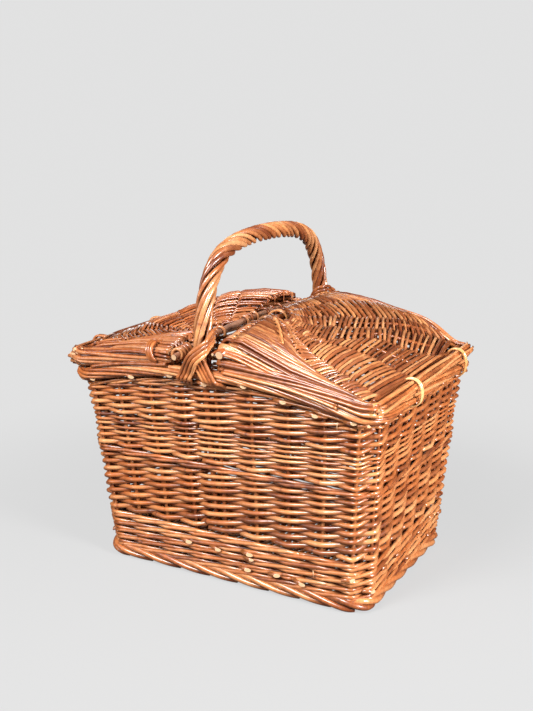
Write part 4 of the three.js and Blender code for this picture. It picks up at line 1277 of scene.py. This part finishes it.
def bundleRods(line, lanes, thick, kind, stops, swell=0.0):
    # Rods packed round a middle line, in lanes, each drifting a little round it
    x, y, radius, out = line
    middle = np.column_stack([x, y, lidSeat(x, y) + radius])
    reach = reachAlong(middle)
    middle[:, 2] += swell / 2
    radius = radius + swell / 2
    widest, shrink = edgeLook["taper"]
    loose, least, most = edgeLook["loose"]
    rods = []
    for ringShare, count in lanes:
        for k in range(count):
            start = chance.uniform(*edgeLook["starts"][kind])
            stop = reach[-1] - chance.uniform(*stops)
            s = np.linspace(start, stop, max(edgeLook["step"], int((stop - start) / edgeLook["step"])))
            spot = np.stack([np.interp(s, reach, middle[:, i]) for i in range(3)], -1)
            full = np.interp(s, reach, radius)
            u = (s - start) / (stop - start)
            flip = chance.random() < 0.5
            rodRadius = thick * (widest - shrink * (1 - u if flip else u)) * jitter(edgeLook["uneven"])
            angle = 2 * np.pi * (k + edgeLook["aside"] * chance.random()) / count
            angle = angle + edgeLook["drifts"][kind] * (u - 0.5) * jitter(edgeLook["driftUneven"])
            angle = angle + wave(edgeLook["sway"], s, chance.random())
            layer = ringShare * (1 + edgeLook["uneven"] * chance.uniform(-1, 1))
            away = (full - rodRadius + loose * chance.uniform(least, most) * np.sin(np.pi * u)) * layer
            shift = np.column_stack([np.outer(np.cos(angle) * away, out), np.sin(angle) * away])
            rods.append(rod(spot + shift, rodRadius, pale=(True, True)))
    return rods


def creaseRods(line, thick):
    # Rods that close the crease between an edge bundle and the border under it
    x, y, radius, out = line
    first, last = edgeLook["creaseRun"]
    s = np.arange(first, len(x) + last)
    widest, share = edgeLook["creaseFit"]
    rods = []
    for aside, rise in edgeLook["creases"]:
        z = lidSeat(x[s], y[s]) + rise + wave(edgeLook["creaseSway"], s, aside)
        plan = np.column_stack([x[s], y[s]]) + out * (aside - (widest - radius[s, None]) * share)
        rods.append(rod(np.column_stack([plan, z]), thick, thick * edgeLook["creaseTip"]))
    return rods


def seamRods(lid, line, thick):
    # Rods that come down from the end of a stick on the roll to the top of the edge bundle
    x, y, radius, out = line
    rods = []
    for k in range(seamLook["rods"]):
        share = (k + 0.5) / seamLook["rods"]
        s = np.arange(0, int(len(x) * chance.uniform(*seamLook["stop"])))
        turn, up = seamLook["high"]
        high = stickZ(lid, y[0]) + lidShape["stickRadius"] * (1 - turn * share) + up
        top, drop = seamLook["low"]
        low = lidSeat(x[s], y[s]) + radius[s] * (top - drop * share)
        start, far = seamLook["fall"]
        fall = ease(np.abs(x[s] - x[0]), start, chance.uniform(*far))
        outer, spread = seamLook["aside"]
        aside = (outer - spread * (1 - share) + wave(seamLook["sway"], s, k)) * radius[s]
        plan = np.column_stack([x[s], y[s]]) + out * aside[:, None]
        points = np.column_stack([plan, high + (low - high) * fall])
        rods.append(rod(points, thick, thick * seamLook["tip"], pale=(True, True)))
    return rods


def coreRod(line, stop):
    x, y, radius, _ = line
    core = np.column_stack([x, y, lidSeat(x, y) + radius])
    return rod(core[2:stop], radius[2:stop] * edgeLook["core"], shade=0.0)


def closingRods(line):
    x, y, radius = (part[4:-4] for part in line[:3])
    rods = []
    for inward, rise in edgeLook["closing"]:
        z = lidSeat(x, y) + radius * (1 + rise) + wave(edgeLook["closingSway"], y, inward)
        points = np.column_stack([x - line[3][0] * radius * inward, y, z])
        rods.append(rod(points, *edgeLook["closingRod"], paintedShade=edgeLook["closingShade"]))
    return rods


def lidEdge(lid):
    front, back, end = edgeLines(lid)
    thick, stops = lid["edgeRod"], lid["stops"]
    rods = []
    for place, line, more in (("front", front, 0), ("back", back, edgeLook["backMore"])):
        fuller = [(ring, count + more) for ring, count in lid["lanes"]]
        rods += bundleRods(line, fuller, thick, "side", stops[place], swellAt(lid, line[0], line[1]))
        rods += creaseRods(line, thick)
        if lid["stickOnRoll"]:
            rods += seamRods(lid, line, thick)
        rods.append(coreRod(line, -3))
    rods += bundleRods(end, lid["endLanes"], thick, "end", stops["end"])
    return rods + closingRods(end) + [coreRod(end, -2)]


lidWeave = {
    "stations": np.array([-0.94, -0.8, 0, 0.8, 0.94]),  # along a rod's run from fold to fold
    "rowUneven": (0.003, 0.5, 0.16, 0.14),  # row's place, corners, lift and radius
    "strayFrom": (0.25, 0.5),
    "wrapsFrom": (0.2, 0.4),
    "flatter": (0.4, (0.6, 1)),  # the outer rows lift less
    "wobble": (0.35, 0.55, 1.9),  # height, turn from point to point and from row to row
    # painted shade on the lengths of a row that pass under a rib, and how it follows the row's lift
    "paintedShade": 0.8,
    "shown": (0.55, 1.6),
    "puff": {"rows": (0.1, 0.5), "y": (-165, -70), "corner": (0.9, (140, 205)), "outer": (0.3, (0.7, 1))},
    "seamRise": 3,
    "seamFrom": (5, 100),  # the right lid's rods slope down from the top of its stick over this distance
    "strayRod": (1.9, 0.75),  # radius, and share of it at the tip
    "strayRise": (2.6, 3),  # over the outermost row, and down at the ends
    # the ribs carry painted shade, as they lie under the rows
    "ribs": {"radius": 2.3, "short": 3, "outer": 0.93, "shade": 0.2, "paintedShade": 0.6},
    "turn": {"gap": (1.2, 0.7), "angles": np.arange(50, 240, 30), "slant": (-0.4, 0.9)},
}


def foldLines(lid):
    lines = np.array([smoothLine(keys, 8) for keys in lid["folds"]])
    return np.stack([lid["stickX"] + lid["side"] * lines[..., 0], lines[..., 1]], -1)


def atShare(lines, f):
    spot = np.clip(f, 0, 1) * (lines.shape[1] - 1)
    k = min(int(spot), lines.shape[1] - 2)
    return lines[:, k] * (1 - spot + k) + lines[:, k + 1] * (spot - k)


def weaveZ(lid, x, y, f):
    # The outer rows lie flush with the top of the edge, and the right lid's rows with the top of its stick
    flush = lid["flush"] * rollRadiusAt(lid, x, y) * ease(f, *lid["flushFrom"])
    puff = lidWeave["puff"]
    (cornerDrop, corner), (outerDrop, outer) = puff["corner"], puff["outer"]
    swell = lid["puff"] * ease(f, *puff["rows"]) * ease(y, *puff["y"])
    swell = swell * (1 - cornerDrop * ease(np.abs(x), *corner)) * (1 - outerDrop * ease(f, *outer))
    z = lidMiddleZ(lid, x, y) + flush + swell
    if not lid["stickOnRoll"]:
        return z
    stickTop = stickZ(lid, y) + lidShape["stickRadius"] + lidWeave["seamRise"]
    return z + np.maximum(stickTop - z, 0) * (1 - ease(np.abs(x - lid["stickX"]), *lidWeave["seamFrom"]))


def wrapped(lid, f):
    middle, outside = lid["wraps"]
    return chance.random() < middle + (outside - middle) * ease(f, *lidWeave["wrapsFrom"])


def rowRod(lid, folds, n):
    offRow, offCorner, offLift, offRadius = lidWeave["rowUneven"]
    stations = lidWeave["stations"]
    f = (n + 0.5) / lid["rows"] + offRow * chance.standard_normal()
    drop, outer = lidWeave["flatter"]
    lift = lid["lift"] * (1 - drop * ease(f, *outer))
    corners = atShare(folds, f)
    corners[1:-1] += offCorner * chance.standard_normal(corners[1:-1].shape)
    corners[-1, 1] += lid["stray"] * chance.standard_normal() * ease(f, *lidWeave["strayFrom"])
    runs = []
    for i, (here, after) in enumerate(zip(corners, corners[1:])):
        over = (1 if (n + i) % 2 else -1) * lift * jitter(offLift)
        plan = np.outer(0.5 - stations / 2, here) + np.outer(0.5 + stations / 2, after)
        runs.append(np.column_stack([plan, over * (1 - np.abs(stations) ** 8)]))
    line = np.concatenate(runs)
    height, step, turn = lidWeave["wobble"]
    wobble = height * np.sin(np.arange(len(line)) * step + n * turn)
    z = weaveZ(lid, line[:, 0], line[:, 1], f) + line[:, 2] + wobble
    points = np.column_stack([line[:, :2], z])
    # Painted shade: the lengths that dip under a rib darken
    shown, gain = lidWeave["shown"]
    depth = lidWeave["paintedShade"] * (shown - shown * np.clip(gain * line[:, 2] / lift, -1, 1))
    if line[0, 2] > 0 and wrapped(lid, f):
        turn = stickTurn(lid, points[0])[::-1]
        points, depth = np.concatenate([turn, points]), np.concatenate([np.zeros(len(turn)), depth])
    if line[-1, 2] > 0 and wrapped(lid, f):
        turn = stickTurn(lid, points[-1])
        points, depth = np.concatenate([points, turn]), np.concatenate([depth, np.zeros(len(turn))])
    return rod(points, lid["rowRadius"] * jitter(offRadius), paintedShade=depth), lift


def lidRows(lid):
    folds = foldLines(lid)
    rods = []
    for n in range(lid["rows"]):
        item, lift = rowRod(lid, folds, n)
        rods.append(item)
    # The strays rise by the lift of the outermost row
    radius, tip = lidWeave["strayRod"]
    high, drop = lidWeave["strayRise"]
    for keys in lid["strays"]:
        line = smoothLine(keys, 5)
        x, y = lid["stickX"] + lid["side"] * line[:, 0], line[:, 1]
        rise = lift + high - drop * np.linspace(-1, 1, len(x)) ** 4
        share = np.abs(x - lid["stickX"]) / lidShape["halfLength"]
        points = np.column_stack([x, y, weaveZ(lid, x, y, share) + rise])
        rods.append(rod(points, radius, radius * tip))
    return rods + (twistedPair(lid) if lid["stickOnRoll"] else [])


strand = {
    "keys": [(22, -76), (27, -83), (43, -104), (60, -128)],  # distance from the stick, y
    "share": 0.3,  # of the rows, on whose height it lies
    "up": 3.4,
    "turn": 0.62,
    "aside": 1.7,
    "rod": 1.5,
    "shade": 0.9,
}


def twistedPair(lid):
    # A twisted strand that lies on the right lid, across its rods
    line = smoothLine([(lid["stickX"] + x, y, 0) for x, y in strand["keys"]], 12)
    line[:, 2] = weaveZ(lid, line[:, 0], line[:, 1], strand["share"]) + lid["lift"] + strand["up"]
    across = np.cross(unit(np.gradient(line, axis=0)), (0, 0, 1))
    pair = []
    for phase in (0, math.pi):
        angle = phase + np.arange(len(line)) * strand["turn"]
        around = np.cos(angle)[:, None] * across + np.sin(angle)[:, None] * np.array([0, 0, 1])
        pair.append(rod(line + strand["aside"] * around, strand["rod"], shade=strand["shade"]))
    return pair


def stickTurn(lid, start):
    # The end of a row goes over the stick and down behind it
    look = lidWeave["turn"]
    gap, uneven = look["gap"]
    rise = lidWeave["seamRise"] if lid["stickOnRoll"] else 0
    reach = lidShape["stickRadius"] + gap + uneven * chance.random() + rise
    z = float(stickZ(lid, start[1]))
    slant = chance.uniform(*look["slant"])
    points = []
    for i, w in enumerate(np.radians(look["angles"])):
        across = lid["side"] * reach * math.cos(w)
        points.append((lid["stickX"] + across, start[1] + slant * i, z + reach * math.sin(w)))
    return np.array(points)


def ribRods(lid):
    folds, look = foldLines(lid), lidWeave["ribs"]
    rods = []
    for here, after in zip(folds, folds[1:]):
        plan = ((here + after) / 2)[: -look["short"]]
        share = np.linspace(0, look["outer"], len(plan))
        points = np.column_stack([plan, weaveZ(lid, plan[:, 0], plan[:, 1], share)])
        rods.append(rod(points, look["radius"], shade=look["shade"], paintedShade=look["paintedShade"]))
    return rods


stickLook = {
    "overhang": 2,
    "points": 24,
    "sway": (0.8, 37, 0),
    "knots": ((0.04, 23, 0), (0.03, 9, 0)),
    "shade": 0.5,
}


def stickRod(lid, x, taper):
    end = lidShape["halfDepth"] + stickLook["overhang"]
    y = np.linspace(-end, end, stickLook["points"])
    knots, fineKnots = (wave(look, y) for look in stickLook["knots"])
    thick = np.linspace(*taper, len(y)) * (1 + knots + fineKnots)
    points = np.column_stack([x + wave(stickLook["sway"], y), y, stickZ(lid, y)])
    return rod(points, thick, pale=(True, True), shade=stickLook["shade"])


coilSteps = 28  # for one turn


def turnsRound(centre, axis, start, radius, pitch, turns, wide=None, square=1.0):
    axis, start = Vector(axis).normalized(), Vector(start).normalized()
    across = axis.cross(start).normalized()
    wide = radius if wide is None else wide
    points = []
    for i in range(int(turns * coilSteps) + 1):
        angle = 2 * math.pi * i / coilSteps
        climb = (i / (turns * coilSteps) - 0.5) * turns * pitch
        c, s = (math.copysign(abs(v) ** square, v) for v in (math.cos(angle), math.sin(angle)))
        spot = Vector(centre) + start * (radius * c) + across * (wide * s) + axis * climb
        points.append(tuple(spot))
    return points


ringInset = 1.4  # from the outside of a ring to the middle of its rod


def hingeRings(lid):
    rings = []
    for i, y in enumerate(lid["hinges"]):
        low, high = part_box(f"{lid['name']}_lid_hinge_ring_{i + 1}")
        centre = (low + high) / 2 / mm
        radius = (high.z - low.z) / 2 / mm - ringInset
        look = {"wide": lid["ringHalfWidth"], "square": lid["ringSquare"]}
        middle = (centre.x, y, centre.z)
        points = turnsRound(middle, (0, 1, 0), (0, 0, -1), radius, lid["ringPitch"], 2, **look)
        rings.append(rod(points, lid["ringRod"]))
    return rings


loopLook = {"up": 3, "tilt": 0.1, "rod": 2.1}

for lid in (leftLid, rightLid):
    name, body = lid["name"], lid["name"] + "_lid"
    edge, weave, stick, rings = (coats[lid["coats"][key]] for key in ("edge", "weave", "stick", "rings"))
    rodPiece(name + "LidEdge", lidEdge(lid), body, "willow", edge, [body + "_edge_roll"])
    rodPiece(name + "LidWeave", lidRows(lid), body, "willow", weave, [body + "_weave"])
    rodPiece(name + "LidRibs", ribRods(lid), body, "pale_willow", coats["paleWillow"], [body + "_rib_fan"])
    sticks = [stickRod(lid, lid["stickX"], lid["stickTaper"])]
    rodPiece(name + "LidStick", sticks, body, "bark_willow", stick, [body + "_edge_stick"], rounding=4)
    names = [f"{body}_hinge_ring_{i + 1}" for i in range(2)]
    rodPiece(name + "HingeRings", hingeRings(lid), "basket", "split_cane", rings, names, rounding=3)
    x, ySide = lid["loop"]
    radius = float(rollRadiusAt(lid, x, ySide))
    y = ySide * (lidShape["halfDepth"] - radius)
    centre = (x, y, float(lidSeat(x, y)) + radius + loopLook["up"])
    turns, pitch, spare = lid["loopCoils"]
    axis = (1, ySide * lid["loopLean"], loopLook["tilt"])
    loop = rod(turnsRound(centre, axis, (0, ySide, -1), radius + spare, pitch, turns), loopLook["rod"])
    rodPiece(name + "EdgeLoop", [loop], body, "willow", coats["willow"], [body + "_edge_loop"], rounding=3)

winding = {"y": -160, "radius": 6.6, "rod": 1.9, "turns": 5, "pitch": 4.3}
centre = (leftLid["stickX"], winding["y"], float(stickZ(leftLid, winding["y"])))
coil = turnsRound(centre, (0, 1, 0), (0, 0, -1), winding["radius"], winding["pitch"], winding["turns"])
rodPiece("leftStickWinding", [rod(coil, winding["rod"])], "left_lid", "willow", coats["willow"], rounding=3)

innerStick = {"gap": 2.9, "taper": (2.0, 2.6)}
inner = rightLid["stickX"] - lidShape["stickRadius"] - innerStick["gap"]
sticks, names = [stickRod(rightLid, inner, innerStick["taper"])], ["right_lid_inner_stick"]
rodPiece("rightInnerStick", sticks, "right_lid", "dark_willow", coats["darkWillow"], names)

# size is the radius, the pitch, the turns and the half width
ribTies = {"ys": (-80, -22, 22), "aside": 2.75, "size": (13.4, 3.9, 2, 9.7), "rod": 1.6}
tiePieces = []
for y in ribTies["ys"]:
    centre = (rightLid["stickX"] - ribTies["aside"], y, float(stickZ(rightLid, y)))
    tiePieces.append(rod(turnsRound(centre, (0, 1, 0), (1, 0, 0), *ribTies["size"]), ribTies["rod"]))
names = [f"right_lid_rib_tie_{i + 1}" for i in range(len(tiePieces))]
rodPiece("rightRibTies", tiePieces, "right_lid", "pale_willow", coats["paleWillow"], names, rounding=3)
print("lids woven")


# Floor, backdrop and light

studio = {
    "size": 30,
    "grey": 0.757,
    "lit": 0.36,
    "bounce": 0.05,  # the floor as the basket sees it
    "roughness": 0.9,
    "shadow": (0.9, 0.3),  # between these distances the floor's own shading comes in
    "shadowShare": 0.2,
    "world": 0.025,
    "aim": (0, 0, 0.22),
}


def grey(value):
    return value, value, value, 1


def makeFloor():
    maker = bmesh.new()
    bmesh.ops.create_grid(maker, x_segments=1, y_segments=1, size=studio["size"])
    mesh = bpy.data.meshes.new("floor")
    maker.to_mesh(mesh)
    maker.free()
    floor = placed("floor", mesh)
    material, shader, base = newMaterial("paleFloor")
    seen = base.node("LightPath", out=0)
    seen.blend(grey(studio["bounce"]), grey(studio["lit"])).feed(shader.inputs["Base Color"])
    shader.inputs["Roughness"].default_value = studio["roughness"]
    glow = base.node("Emission", Color=grey(studio["grey"]))
    away = base.node("VectorMath", {"operation": "LENGTH"}, out=1, i0=base.node("TexCoord", out=3))
    share = seen * (1 - away.between(*studio["shadow"]) * studio["shadowShare"])
    mixed = base.node("MixShader", i0=share, i1=Wire(base.tree, shader.outputs[0]), i2=glow)
    mixed.feed(base.tree.nodes["Material Output"].inputs[0])
    mesh.materials.append(material)


def makeWorld():
    world = bpy.data.worlds.new("studio")
    world.use_nodes = True
    tree = world.node_tree
    seen = Wire(tree, None).node("LightPath", out=0)
    tree.nodes["Background"].inputs["Color"].default_value = grey(1)
    strength = seen * (studio["grey"] - studio["world"]) + studio["world"]
    strength.feed(tree.nodes["Background"].inputs["Strength"])
    scene.world = world


lamps = {
    "key": {"place": (-0.3, -1.55, 1.6), "size": 0.7, "power": 76},
    "side": {"place": (2.0, -0.5, 0.9), "size": 0.6, "power": 105},
    "fill": {"place": (-1.6, -1.6, 0.7), "size": 0.7, "power": 10},
    "top": {"place": (0.3, 1.1, 1.9), "size": 0.9, "power": 2},
    "back": {"place": (-1.1, 2.0, 0.3), "size": 1.2, "power": 10},
}


def makeLamps():
    for name, lamp in lamps.items():
        data = bpy.data.lights.new(name, "AREA")
        data.size, data.energy = lamp["size"], lamp["power"]
        light = placed(name, data)
        light.location = lamp["place"]
        light.rotation_mode = "QUATERNION"
        light.rotation_quaternion = (Vector(studio["aim"]) - Vector(lamp["place"])).to_track_quat("-Z", "Y")


makeFloor()
makeWorld()
makeLamps()
scene.view_settings.view_transform = "Standard"
print("studio lit")
